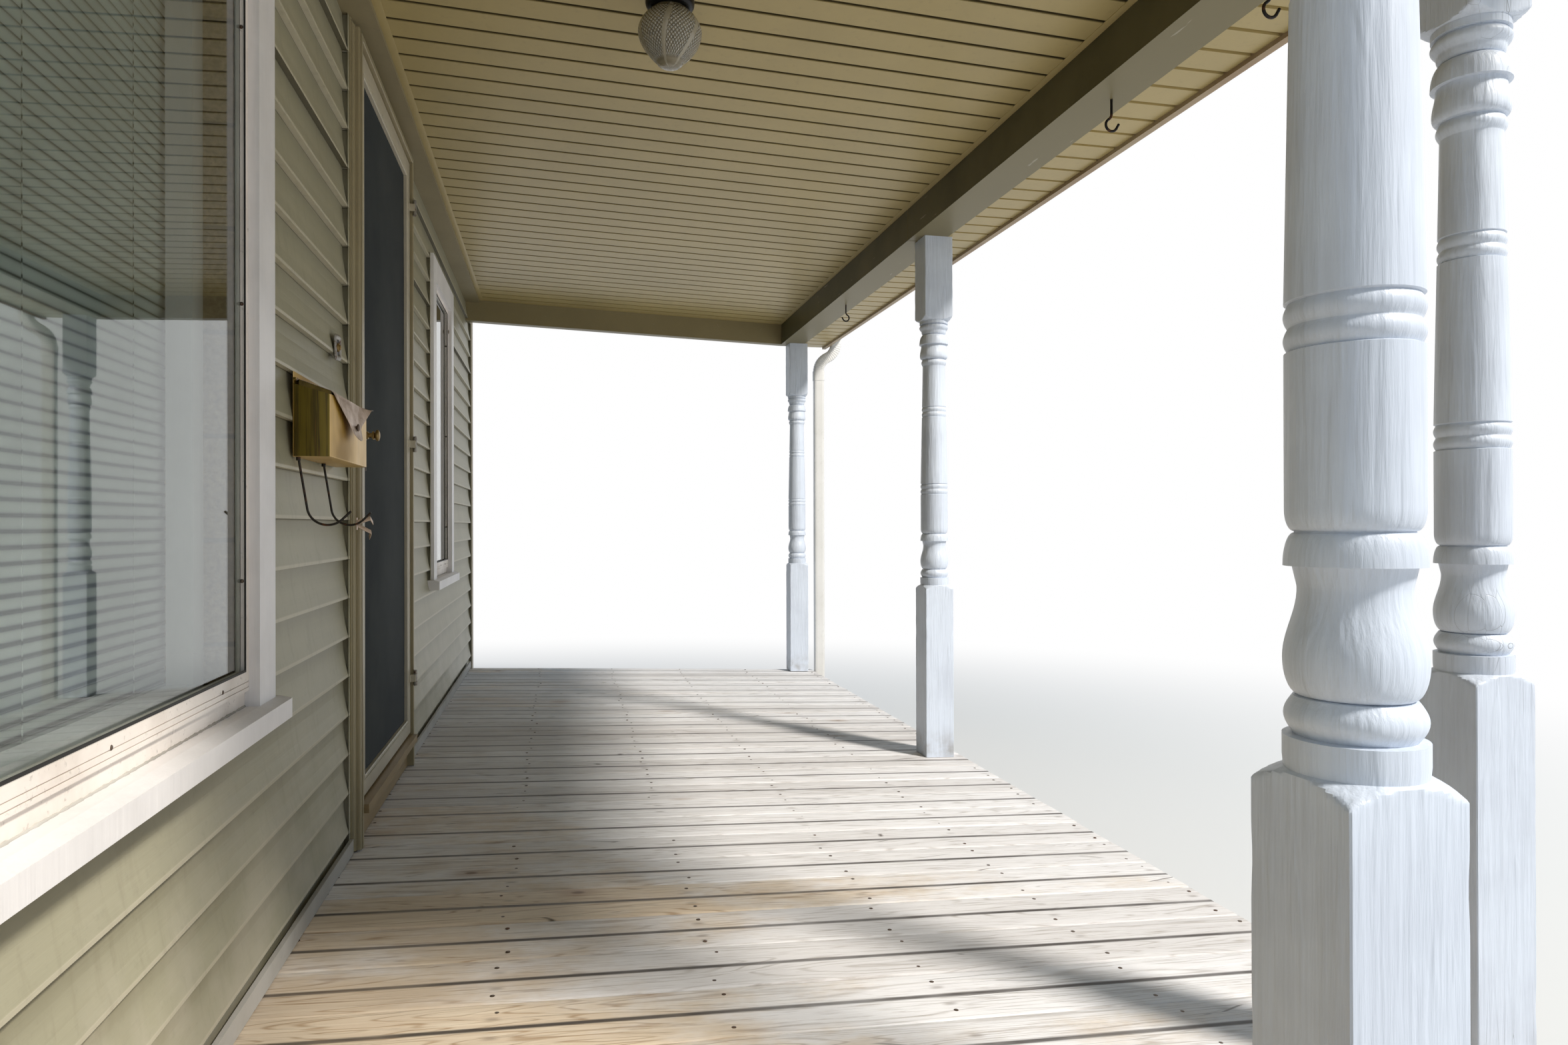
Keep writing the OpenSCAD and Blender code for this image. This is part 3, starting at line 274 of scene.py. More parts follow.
def paintedWood(name, colour, under, grain="Z", crackShare=0.6, gloss=0.42, dirt=(96, 88, 70), ridges=1.0):
    # brushed paint: long ridges along the board, hairline cracks in patches and a few bare nicks
    f = Finish(name)
    along = {"X": (1, 16, 16), "Y": (16, 1, 16), "Z": (16, 16, 1)}[grain]
    brush = f.noise(9, 5, 0.6, along)
    ridge = f.noise(3.2, 3, 0.5, along, (3, 1, 7))
    blotch = f.noise(5, 4, 0.6)
    crack = f.step(f.cells(2.2, "DISTANCE_TO_EDGE", along), 0.0, 0.010, 1.0, 0.0)
    cracked = f.times(crack, f.step(f.noise(2.4, 3, 0.5, shift=(5, 2, 1)), crackShare, crackShare + 0.1))
    nick = f.step(f.cells(9, "F1", tuple(0.3 if s == 1 else 1 for s in along)), 0.03, 0.045, 1.0, 0.0)
    nick = f.times(nick, f.step(f.noise(6, 2, shift=(1, 8, 3)), 0.60, 0.66))
    base = f.mix(f.step(blotch, 0.35, 0.7), tint(*colour), shade(colour, 0.95))
    base = f.mix(f.step(brush, 0.35, 0.8, 0.0, 0.22 * ridges), base, shade(colour, 0.84))
    base = f.coat(base, dirt, cracked, 0.6)
    base = f.coat(base, under, nick)
    f.bump(ridge, 0.45 * ridges, 0.004)
    f.bump(brush, 0.5 * ridges, 0.0016)
    f.bump(f.minus(1.0, f.plus(cracked, nick, clamp=True)), 0.5, 0.0010)
    return f, base, gloss


def enamel(name, colour, gloss=0.4, grime=(84, 76, 58), spots=0.0, grain=None, soil=0.5):
    # baked enamel on sheet metal or vinyl: soft dents, a film of dirt, and optional embossed grain
    f = Finish(name, Specular_IOR_Level=0.22)
    film = f.noise(2.2, 5, 0.62)
    fine = f.noise(55, 3, 0.6)
    dirty = (int(0.6 * c + 0.4 * g) for c, g in zip(colour, grime))
    base = f.mix(f.step(film, 0.30, 0.72, 0.0, soil), tint(*colour), tint(*dirty))
    base = f.coat(base, grime, f.step(fine, 0.55, 0.8, 0.0, 0.16))
    if spots:
        speck = f.step(f.cells(38), 0.0, 0.09, 1.0, 0.0)
        picked = f.times(speck, f.step(f.noise(7, 2), 0.62, 0.70))
        base = f.coat(base, (92, 60, 38), picked, spots)
    if grain:
        stretch = {"X": (1, 22, 22), "Y": (22, 1, 22), "Z": (22, 22, 1)}[grain]
        f.bump(f.noise(6, 4, 0.6, stretch), 0.35, 0.0012)
    f.bump(f.noise(3.5, 2, 0.4), 0.22, 0.004)
    f.bump(fine, 0.10, 0.0005)
    return f, base, gloss


def finishPostPaint():
    # thick white paint over turned wood, tinted blue as painted shade, grimy where the posts stand on the
    # deck
    f, base, gloss = paintedWood("postPaint", (213, 221, 233), (74, 66, 56), crackShare=0.56,
                                 dirt=(92, 92, 92), ridges=1.25)
    drip = f.noise(14, 2, 0.4, (3.2, 3.2, 0.5), (6, 3, 1))
    f.bump(f.step(drip, 0.56, 0.68), 0.35, 0.0014)
    low = f.step(f.axes["Z"], 0.40, 0.52, 1.0, 0.0)
    grimeLow = f.times(low, f.step(f.noise(14, 4, 0.6), 0.35, 0.75))
    base = f.coat(base, (128, 116, 96), grimeLow, 0.6)
    f.done(base, gloss)


def finishDeckWood():
    # softwood boards: grain and growth rings carried along Y, knots, checks, a dark line and two rows of
    # rust along each board (both half a pitch off the gaps and nails), and grey-white worn paint that
    # grows outwards and towards the far end
    f = Finish("deckWood")
    tone = f.add("ShaderNodeAttribute", attribute_name="boardTone").outputs["Fac"]
    seed = f.times(tone, 37.0)
    place = f.add("ShaderNodeCombineXYZ", {"X": f.axes["X"], "Y": f.axes["Y"], "Z": seed}).outputs[0]
    fine = f.noise(16, 4, 0.6, (14, 0.7, 1), place=place, twist=0.3)
    grain = f.noise(5.5, 6, 0.62, (16, 1.0, 1), place=place, twist=0.5)
    rings = f.noise(1.5, 2, 0.45, (9, 0.55, 1), place=place, twist=0.9)
    streak = f.size(f.minus(f.fract(f.times(rings, 14.0)), 0.5))
    lateWood = f.step(streak, 0.32, 0.5)
    knotField = f.cells(1.75, "F1", (1.9, 1, 1), place=place)
    knot = f.step(knotField, 0.020, 0.042, 1.0, 0.0)
    knotHalo = f.step(knotField, 0.035, 0.13, 1.0, 0.0)
    crack = f.step(f.cells(2.0, "DISTANCE_TO_EDGE", (16, 0.55, 1), place=place), 0.0, 0.012, 1.0, 0.0)
    crack = f.times(crack, f.step(f.noise(1.9, 3, place=place, shift=(4, 4, 4)), 0.52, 0.60))
    seam = f.wave(f.axes["X"], repeat["board"], 0.010, repeat["seam"])
    out = f.minus(wallY, f.axes["Y"])
    nailX = f.minus(f.off(f.axes["X"], repeat["board"], repeat["seam"]), 0.5 - repeat["nail"])
    nailX = f.step(f.size(nailX), 0.005, 0.055, 1.0, 0.0)
    nailY = f.off(out, repeat["joist"], repeat["joist"] / 2 - repeat["firstJoist"])
    nailY = f.step(nailY, 0.004, 0.050, 1.0, 0.0)
    rust = f.times(f.times(nailX, nailY), f.step(f.noise(2.6, 3, shift=(3, 1, 5)), 0.40, 0.62))
    tan = f.mix(lateWood, tint(212, 193, 168), tint(172, 146, 116))
    tan = f.coat(tan, (228, 213, 190), f.step(grain, 0.42, 0.75, 0.0, 0.8))
    white = f.mix(lateWood, tint(238, 235, 234), tint(206, 201, 197))
    white = f.coat(white, (248, 246, 245), f.step(grain, 0.40, 0.72, 0.0, 0.8))
    wear = f.plus(f.step(f.axes["X"], -2.4, 0.4, 0.0, 0.85), f.step(out, 0.35, 1.5, 0.0, 0.65))
    wear = f.plus(wear, f.times(f.minus(f.noise(1.7, 6, 0.68, (1.6, 0.8, 1)), 0.5), 2.0))
    wear = f.plus(wear, f.times(f.minus(tone, 0.5), 0.5))
    base = f.mix(f.step(wear, 0.25, 0.80), tan, white)
    damp = f.step(f.noise(0.9, 4, 0.6, (1.5, 0.7, 1), (9, 2, 0)), 0.52, 0.74, 0.0, 0.34)
    base = f.coat(base, (150, 130, 110), damp)
    base = f.coat(base, (134, 114, 94), f.step(fine, 0.52, 0.76, 0.0, 0.45))
    base = f.coat(base, (150, 112, 76), knotHalo, 0.45)
    base = f.coat(base, (98, 68, 46), knot, 0.8)
    base = f.coat(base, (66, 54, 44), crack, 0.85)
    base = f.coat(base, (132, 116, 100), f.step(tone, 0.35, 1.0), 0.22)
    base = f.coat(base, (96, 76, 60), rust, 0.45)
    seamDirt = f.times(seam, f.step(f.noise(3.0, 4, 0.6, (0.3, 1, 1)), 0.25, 0.65, 0.65, 0.95))
    base = f.coat(base, (50, 42, 36), seamDirt)
    f.bump(grain, 0.40, 0.0022)
    f.bump(lateWood, 0.30, 0.0012)
    f.bump(fine, 0.25, 0.0008)
    f.bump(crack, -0.8, 0.003)
    f.done(base, f.step(wear, 0.2, 0.9, 0.58, 0.78))


def finishRoughWood(name, light, dark, stretch, pitch=0):
    f = Finish(name)
    grain = f.noise(5, 6, 0.62, stretch, twist=0.5)
    base = f.blend(grain, 0.3, 0.72, light, dark)
    base = f.coat(base, (84, 76, 66), f.step(f.noise(1.5, 4), 0.45, 0.75, 0.0, 0.4))
    if pitch:  # joints between boards, each board with a tone of its own
        board = f.calc("FLOOR", f.parts(f.plus(f.axes["Z"], pitch / 2), pitch))
        tone = f.fract(f.times(f.calc("SINE", f.times(board, 12.99)), 43.7))
        base = f.coat(base, (88, 70, 50), tone, 0.30)
        joint = f.wave(f.axes["Z"], pitch, 0.007)
        base = f.coat(base, (36, 28, 20), joint, 0.85)
        f.bump(joint, -0.8, 0.003)
    f.bump(grain, 0.5, 0.0025)
    f.done(base, 0.8)


def finishSiding():
    # embossed vinyl: painted shade darkens each course under the lap above, its lip carries a painted
    # highlight
    f, base, gloss = enamel("sidingPaint", (168, 163, 138), 0.42, (100, 95, 76), grain="X", soil=0.35)
    lap = repeat["siding"]
    share = f.fract(f.parts(f.plus(f.axes["Z"], 10 * lap - repeat["sidingFoot"]), lap))
    # painted shade: each course darkens towards its top, under the lap of the course above
    under = f.step(share, 0.40, 1.0, 0.0, 1.0)
    # painted highlight: a pale band along the lip at the foot of each course
    lip = f.step(share, 0.055, 0.085, 1.0, 0.0)
    base = f.coat(base, (100, 94, 70), under, 0.42)
    base = f.coat(base, (206, 198, 176), lip, 0.55)
    # painted shadow: a dark line at the top of each course, just under the next lip
    base = f.coat(base, (60, 54, 38), f.step(share, 0.965, 0.995), 0.7)
    streaks = f.noise(3.0, 4, 0.6, (14, 14, 1.2))
    base = f.coat(base, (120, 112, 88), f.step(streaks, 0.5, 0.8, 0.0, 0.25))
    dust = f.times(f.step(f.axes["Z"], 0.46, 1.05, 1.0, 0.0), f.step(f.noise(6, 4), 0.35, 0.7))
    base = f.coat(base, (196, 188, 170), dust, 0.5)
    f.bump(f.noise(90, 3, 0.6, (0.12, 1, 1)), 0.25, 0.0005)
    f.done(base, gloss)


def finishCeiling():
    # pre-painted soffit sheet: painted shade in the grooves, faint cobweb film
    f, base, gloss = enamel("soffitMetal", (178, 159, 108), 0.36, (104, 96, 70), soil=0.30)
    web = f.step(f.noise(1.3, 5, 0.7), 0.52, 0.8, 0.0, 0.22)
    base = f.coat(base, (122, 114, 88), web)
    sheet = f.plus(ceilZ(wallY), f.times(f.axes["Y"], site["ceilFall"]))  # its height where Y is 0, and slope
    rise = f.minus(f.axes["Z"], sheet)
    # painted shade: the grooves, which rise above the sheet's face, are darkened
    base = f.coat(base, (46, 40, 28), f.step(rise, 0.001, 0.004, 0.0, 0.85))
    f.done(base, gloss)


def finishBeam():
    # bent sheet over the beam: the face towards the wall carries painted shade in a dark olive, the underside
    # carries painted shade too, and screws have rusted
    f, base, gloss = enamel("beamPaint", (146, 134, 100), 0.42, (104, 96, 66), spots=0.5)
    facing = f.facing()
    # painted shade: the face turned towards the wall is picked by its normal and turned dark olive
    paintedShadeInward = f.step(facing["Y"], 0.4, 0.8)
    olive = f.blend(f.noise(3, 4, 0.6), 0.3, 0.7, (96, 90, 62), (80, 76, 50))
    base = f.mix(paintedShadeInward, base, olive)
    # painted shade: faces turned down are darkened
    under = f.step(facing["Z"], -0.8, -0.4, 0.75, 0.0)
    base = f.coat(base, (112, 104, 74), under)
    scratch = f.step(f.noise(9, 3, 0.5, (0.8, 6, 9), (2, 7, 1)), 0.72, 0.76)
    base = f.coat(base, (178, 172, 156), scratch, 0.5)
    f.done(base, gloss)


def finishGlass(name, colour, rough):
    # clear panes with a faint film and a slight wave
    f = Finish(name, Transmission_Weight=1.0, IOR=1.45)
    smear = f.noise(2.5, 4, 0.6)
    f.bump(f.noise(1.1, 2, 0.4), 0.03, 0.002)
    base = f.mix(f.step(smear, 0.4, 0.8, 0.0, 0.3), tint(*colour), shade(colour, 0.93))
    f.done(base, rough)


def finishAluminium():
    f = Finish("sashMetal")
    pits = f.noise(90, 4, 0.65)
    film = f.noise(6, 5, 0.6)
    base = f.blend(film, 0.35, 0.75, (246, 236, 226), (220, 208, 196))
    base = f.coat(base, (126, 112, 96), f.step(pits, 0.60, 0.74, 0.0, 0.45))
    f.bump(f.noise(30, 3, 0.5, (1, 1, 8)), 0.15, 0.0008)
    f.bump(pits, 0.35, 0.0006)
    f.done(base, f.step(film, 0.3, 0.8, 0.34, 0.6))


def finishBrass(name, bright, dull, rough=0.34, metallic=0.9):
    f = Finish(name, Metallic=metallic)
    patina = f.noise(16, 5, 0.65)
    streak = f.noise(10, 4, 0.6, (6, 6, 1), (2, 2, 2))
    base = f.blend(patina, 0.35, 0.68, bright, dull)
    base = f.mix(f.step(streak, 0.52, 0.75, 0.0, 0.6), base, shade(dull, 0.55))
    f.bump(patina, 0.2, 0.0008)
    f.done(base, f.step(patina, 0.3, 0.75, rough, rough + 0.25))


def finishMailbox():
    # lacquered brass gone olive on the sides, with soft upright streaks; the front is golden and its
    # edges are rubbed
    f = Finish("mailboxBrass", Metallic=0.45)
    side = f.step(f.size(f.facing()["X"]), 0.5, 0.8)
    streak = f.noise(7, 4, 0.55, (5, 26, 0.7))
    cloud = f.noise(5, 3, 0.5, shift=(3, 1, 2))
    front = f.blend(cloud, 0.35, 0.7, (198, 158, 62), (150, 116, 40))
    front = f.coat(front, (132, 104, 44), f.step(streak, 0.5, 0.8, 0.0, 0.30))
    flank = f.blend(streak, 0.38, 0.66, (114, 98, 26), (72, 60, 16))
    flank = f.coat(flank, (134, 94, 32), f.step(streak, 0.60, 0.76, 0.0, 0.7))
    base = f.mix(side, front, flank)
    worn = f.step(f.size(f.minus(f.axes["X"], site["mailboxX"])), 0.1900, 0.1945)
    low = f.step(f.axes["Z"], site["mailboxLow"] + 0.0015, site["mailboxLow"] + 0.0040, 1.0, 0.0)
    worn = f.times(f.most(worn, low), f.minus(1.0, side))
    base = f.coat(base, (222, 190, 130), worn, 0.6)
    f.bump(cloud, 0.25, 0.003)
    f.bump(f.noise(60, 3), 0.12, 0.0004)
    f.done(base, f.step(cloud, 0.3, 0.75, 0.36, 0.55))


def finishLid():
    # the lid's top has gone olive like the box, its flap is rubbed to a pinkish grey
    f = Finish("lidMetal", Metallic=0.5)
    patina = f.noise(16, 5, 0.65)
    scratch = f.step(f.noise(12, 4, 0.6, (1, 1, 9), (2, 2, 2)), 0.52, 0.72)
    flap = f.blend(patina, 0.35, 0.68, (198, 176, 158), (160, 138, 118))
    flap = f.coat(flap, (128, 104, 82), scratch, 0.5)
    top = f.blend(patina, 0.35, 0.68, (112, 94, 34), (76, 62, 22))
    base = f.mix(f.step(f.size(f.facing()["Z"]), 0.6, 0.85), flap, top)
    f.bump(patina, 0.2, 0.0008)
    f.done(base, f.step(patina, 0.3, 0.75, 0.36, 0.6))


def finishLampGlass():
    # pressed glass: |sin(a + b)| * |sin(a - b)| of two fine crossing spirals, left out on six plain ribs
    f = Finish("lampGlass", Transmission_Weight=0.6, IOR=1.45)
    x, y = (f.minus(f.axes[k], v) for k, v in (("X", lamp["x"]), ("Y", wallY - lamp["out"])))
    angle = f.calc("ARCTAN2", y, x)
    fall = f.minus(lamp["top"], f.axes["Z"])
    a, b = f.times(angle, 24.0), f.times(fall, 330.0)
    cut = f.times(*(f.size(f.calc("SINE", c)) for c in (f.plus(a, b), f.minus(a, b))))
    turn = f.plus(angle, f.times(fall, lamp["lean"] / lamp["tall"]))
    rib = f.calc("COSINE", f.times(turn, float(lamp["panels"])))
    rib = f.step(rib, lamp["ribFrom"], lamp["ribFull"])
    band = f.times(f.step(fall, 0.010, 0.016), f.step(fall, 0.124, 0.130, 1.0, 0.0))
    cut = f.times(f.times(cut, band), f.minus(1.0, rib))
    base = f.blend(cut, 0.15, 0.6, (176, 166, 140), (252, 249, 238))
    base = f.coat(base, (244, 238, 220), rib, 0.5)
    f.bump(cut, 1.0, 0.0035)
    f.done(base, 0.06)


def finishScreen():
    f = Finish("screenMesh", Alpha=0.97, Specular_IOR_Level=0.12)
    weave = f.most(*(f.wave(f.axes[k], 0.0016, 0.0005) for k in "XZ"))
    film = f.noise(2, 4, 0.6)
    base = f.blend(film, 0.3, 0.8, (54, 58, 60), (70, 73, 72))
    f.bump(weave, 0.25, 0.0004)
    f.done(base, 0.85)


def finishBlinds():
    # pale slats with dust; painted shade deepens across each one to a painted shadow where the next overlaps
    f = Finish("blindSlats")
    soil = f.noise(3, 4, 0.6)
    base = f.blend(soil, 0.35, 0.75, (208, 212, 204), (176, 180, 170))
    # painted shade: each slat darkens towards the line where the next slat overlaps it
    paintedSlatShade = f.off(f.axes["Z"], repeat["slat"], repeat["slatLap"])
    base = f.coat(base, (74, 78, 70), f.step(paintedSlatShade, 0.10, 0.5, 0.0, 0.55))
    # painted shadow: a dark band where the next slat overlaps
    paintedOverlapShadow = f.wave(f.axes["Z"], repeat["slat"], 0.0040, repeat["slatLap"])
    base = f.coat(base, (46, 50, 44), paintedOverlapShadow, 0.92)
    f.bump(f.noise(20, 3, 0.5, (1, 8, 8)), 0.12, 0.0006)
    f.done(base, 0.5)


def finishConcrete():
    f = Finish("concrete")
    large, fine = f.noise(3, 6, 0.6), f.noise(60, 5, 0.7)
    base = f.blend(large, 0.3, 0.7, (168, 163, 152), (134, 128, 118))
    base = f.coat(base, (104, 98, 88), f.step(fine, 0.5, 0.75, 0.0, 0.5))
    f.bump(large, 0.4, 0.006)
    f.bump(fine, 0.5, 0.002)
    f.done(base, 0.9)


def finishShingles():
    f = Finish("shingles")
    tone = f.add("ShaderNodeAttribute", attribute_name="boardTone").outputs["Fac"]
    grit = f.noise(420, 4, 0.8)
    large = f.noise(1.4, 5, 0.6)
    base = f.mix(tone, tint(92, 88, 84), tint(124, 118, 110))
    base = f.coat(base, (66, 62, 58), f.step(grit, 0.40, 0.62))
    base = f.coat(base, (70, 66, 58), f.step(large, 0.45, 0.75, 0.0, 0.45))
    f.bump(grit, 0.5, 0.0012)
    f.done(base, 0.92)


def finishIron(name, colour):
    f = Finish(name, Metallic=0.5)
    rust = f.noise(60, 5, 0.65)
    base = f.blend(rust, 0.52, 0.68, colour, (96, 62, 40))
    f.bump(rust, 0.3, 0.0006)
    f.done(base, f.step(rust, 0.4, 0.7, 0.42, 0.75))


for make in (finishPostPaint, finishDeckWood, finishSiding, finishAluminium, finishBlinds, finishScreen,
             finishMailbox, finishBeam, finishCeiling, finishLid, finishShingles, finishConcrete,
             finishLampGlass):
    make()
finishGlass("windowGlass", (222, 230, 228), 0.01)
finishRoughWood("framing", (176, 150, 112), (122, 98, 70), (1.2, 18, 18))
finishRoughWood("wallBoards", (168, 142, 106), (118, 96, 70), (1.2, 18, 18), repeat["wallBoard"])
finishBrass("wornBrass", (176, 150, 96), (112, 90, 54))
finishBrass("lidSide", (112, 94, 34), (76, 62, 22), 0.42, 0.4)
for name, colour in (("hingeSteel", (150, 146, 138)), ("darkWire", (40, 36, 30)), ("darkMetal", (44, 42, 40)),
                     ("rustIron", (92, 78, 66)), ("hookIron", (28, 27, 26))):
    finishIron(name, colour)
for made in (
        paintedWood("whiteTrim", (240, 236, 234), (120, 110, 96), crackShare=0.62, ridges=0.5),
        paintedWood("doorTrim", (154, 142, 110), (104, 82, 56), dirt=(70, 56, 36), ridges=0.4),
        paintedWood("kickBoard", (146, 124, 86), (96, 78, 50), "X", 0.58, dirt=(60, 46, 30), ridges=0.8),
        paintedWood("entryDoor", (92, 62, 40), (60, 40, 26), crackShare=0.7, dirt=(30, 20, 14)),
        enamel("tanTrim", (176, 160, 130), 0.45, (92, 84, 58), grain="Z"),
        enamel("greyTrim", (196, 192, 184), 0.5, (110, 104, 90), soil=0.9),
        enamel("stormDoor", (196, 188, 168), 0.36, (112, 92, 60), spots=0.7),
        enamel("doorbell", (206, 198, 176), 0.4),
        enamel("ledgerPaint", (146, 134, 104), 0.45, (84, 78, 52), spots=0.4),
        enamel("fasciaPaint", (170, 152, 122), 0.42, (110, 74, 46), spots=1.0, soil=0.8),
        enamel("gutterMetal", (226, 225, 222), 0.38, (130, 126, 112), spots=0.3, soil=0.35),
        enamel("glazingGasket", (34, 33, 32), 0.55, (70, 66, 58)),
        enamel("caulk", (206, 202, 194), 0.6, (84, 76, 64), soil=1.0),
        enamel("lampBlack", (17, 16, 16), 0.3, (44, 42, 38), soil=0.3)):
    made[0].done(*made[1:])
stageNote("materials made")

nodesOf = {
    "concrete": "foundation deck_piers", "framing": "deck_frame step_stringers",
    "deckWood": "deck_boards step_treads", "wallBoards": "wall_full_height wall_at_openings",
    "sidingPaint": "siding", "tanTrim": "corner_trim roof_end_panels", "greyTrim": "base_trim",
    "whiteTrim": "window_casings window_sills", "sashMetal": "window_sashes",
    "windowGlass": "window_glass", "blindSlats": "window_blinds", "doorTrim": "door_moulding door_jambs",
    "kickBoard": "door_kick_board", "entryDoor": "entry_door", "stormDoor": "storm_door_frame",
    "screenMesh": "storm_door_screen", "wornBrass": "storm_door_handle",
    "hingeSteel": "storm_door_hinges", "mailboxBrass": "mailbox_body mailbox_lid",
    "darkWire": "newspaper_hooks", "doorbell": "doorbell_plate",
    "postPaint": "far_corner_post middle_post third_post near_corner_post near_end_post",
    "beamPaint": "front_beam end_beams", "ledgerPaint": "wall_ledger_board",
    "soffitMetal": "porch_ceiling eave_soffit", "fasciaPaint": "fascia",
    "gutterMetal": "gutter downspout", "shingles": "roof_slope", "lampBlack": "light_holder",
    "lampGlass": "light_shade", "hookIron": "plant_hooks"}
for finish, nodes in nodesOf.items():
    for node in nodes.split():
        cad[node].data.materials.clear()
        cad[node].data.materials.append(mats[finish])


# mesh makers
def place(x, out, z):
    # points from x, the distance out from the wall, and z, all spread to one shape
    return np.stack(np.broadcast_arrays(x, wallY - out, z), -1)


def around(count):
    return np.linspace(0, 2 * np.pi, count, endpoint=False)


def gridPiece(name, grids, material, body="porch", loop=False, smooth=40, slotName=None,
              replaced=(), tones=None):
    # grids[n, u, v] holds the points of n closed skins: v runs round each section and u along the piece;
    # a face joins (u, v) to its neighbours at u + 1 and v + 1, the ends are closed, or joined with loop,
    # and a negative signed volume, the sum of a . (b x c) over the faces, turns every face round
    grids = np.asarray(grids, float)
    if grids.ndim == 3:
        grids = grids[None]
    count, rows, cols, _ = grids.shape
    u = np.arange(rows if loop else rows - 1)[:, None]
    v = np.arange(cols)[None, :]
    along, after = (u + 1) % rows * cols, (v + 1) % cols
    quads = np.stack([u * cols + v, u * cols + after, along + after, along + v], -1).reshape(-1, 4)
    ring = np.arange(cols)
    ends = np.stack([ring[::-1], ring + (rows - 1) * cols]) if not loop else np.zeros((0, cols), int)
    points = grids.reshape(count, -1, 3)
    a, b, c, d = (points[:, quads[:, k]] - points.mean(1)[:, None] for k in range(4))
    volume = (a * np.cross(b, c)).sum() + (a * np.cross(c, d)).sum()
    if volume < 0:
        quads, ends = quads[:, ::-1], ends[:, ::-1]
    offsets = (np.arange(count) * rows * cols)[:, None, None]
    quads = (quads[None] + offsets).reshape(-1, 4)
    ends = (ends[None] + offsets).reshape(-1, cols)
    loops = np.concatenate([quads.ravel(), ends.ravel()])
    sizes = np.concatenate([np.full(len(quads), 4), np.full(len(ends), cols)])
    mesh = bpy.data.meshes.new(name)
    mesh.vertices.add(count * rows * cols)
    mesh.vertices.foreach_set("co", grids.astype(np.float32).ravel())
    mesh.loops.add(len(loops))
    mesh.loops.foreach_set("vertex_index", loops.astype(np.int32))
    mesh.polygons.add(len(sizes))
    mesh.polygons.foreach_set("loop_start", (np.cumsum(sizes) - sizes).astype(np.int32))
    mesh.update(calc_edges=True)
    mesh.polygons.foreach_set("use_smooth", np.ones(len(sizes), bool))
    mesh.set_sharp_from_angle(angle=math.radians(smooth))
    if tones is not None:
        spread = mesh.attributes.new("boardTone", "FLOAT", "POINT")
        spread.data.foreach_set("value", np.repeat(tones, rows * cols).astype(np.float32))
    mesh.materials.append(material)
    obj = bpy.data.objects.new(name, mesh)
    bpy.context.scene.collection.objects.link(obj)
    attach(obj, body)
    if replaced:
        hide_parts(*replaced)
    return obj


def turnGrid(centre, axis, outline, cols):
    # lathe work: outline rows are (height along the axis, radius), turned round the axis
    axis = np.asarray(axis, float)
    first = np.cross(axis, (0, 0, 1) if abs(axis[2]) < 0.9 else (1, 0, 0))
    first /= np.linalg.norm(first)
    angle = around(cols)
    rim = np.cos(angle)[:, None] * first + np.sin(angle)[:, None] * np.cross(axis, first)
    outline = np.asarray(outline, float)
    return np.asarray(centre) + outline[:, :1, None] * axis + outline[:, 1:, None] * rim


def domeGrid(spots, axis, radius, rise, cols=8):
    # low round heads: four rings from just under the surface up to a small flat top
    outline = np.array([(-0.6 * rise, 1.0), (0.25 * rise, 1.0), (0.8 * rise, 0.75), (rise, 0.2)])
    ring = turnGrid((0, 0, 0), axis, outline * (1, radius), cols)
    return np.asarray(spots, float)[:, None, None] + ring


def barGrid(starts, ends, side, wide, deep, chamfer=0.18):
    # straight bars: an eight-sided section, wide along side and deep across it, drawn in at both ends
    starts, ends, side = (np.asarray(a, float) for a in (starts, ends, side))
    along = ends - starts
    length = np.linalg.norm(along, axis=1, keepdims=True)
    along = along / length
    side = np.broadcast_to(side, starts.shape)
    across = np.cross(along, side)
    edge = 0.5 - chamfer
    turn = np.array([(0.5, edge), (edge, 0.5), (-edge, 0.5), (-0.5, edge),
                     (-0.5, -edge), (-edge, -0.5), (edge, -0.5), (0.5, -edge)])
    cut = chamfer * min(wide, deep)
    steps = np.concatenate([0 * length, 0 * length + cut, length - cut, length], 1)
    shrink = np.array([1 - 2 * cut / wide, 1, 1, 1 - 2 * cut / wide])[None, :, None, None]
    lower = np.array([1 - 2 * cut / deep, 1, 1, 1 - 2 * cut / deep])[None, :, None, None]
    return (starts[:, None, None] + steps[:, :, None, None] * along[:, None, None]
            + shrink * wide * turn[None, None, :, :1] * side[:, None, None]
            + lower * deep * turn[None, None, :, 1:] * across[:, None, None])


def thickSheet(front, offset):
    # a sheet of points (u, v) made solid: each row runs along the front and back behind it
    return np.concatenate([front, (front + np.asarray(offset))[:, ::-1]], axis=1)


rng = np.random.default_rng(41)

# deck boards and their nails
deck = {"x0": -2.75, "x1": 2.75, "board": 0.184, "gap": 0.003, "thick": 0.038, "reach": 2.132,
        "edge": 0.005, "cup": 0.0012, "crown": 0.0009, "joists": 6, "joistSpan": 2.082, "nailIn": 0.032,
        "nailR": 0.0050, "nailRise": 0.0012, "uneven": 0.0016, "nailSink": 0.0022}


def boardEdges(v):
    pitch = v["board"] + v["gap"]
    whole = int((v["x1"] - v["x0"] + v["gap"]) // pitch)
    right = v["x1"] - np.arange(whole) * pitch
    left = right - v["board"]
    return np.append(left, v["x0"]), np.append(right, left[-1] - v["gap"])


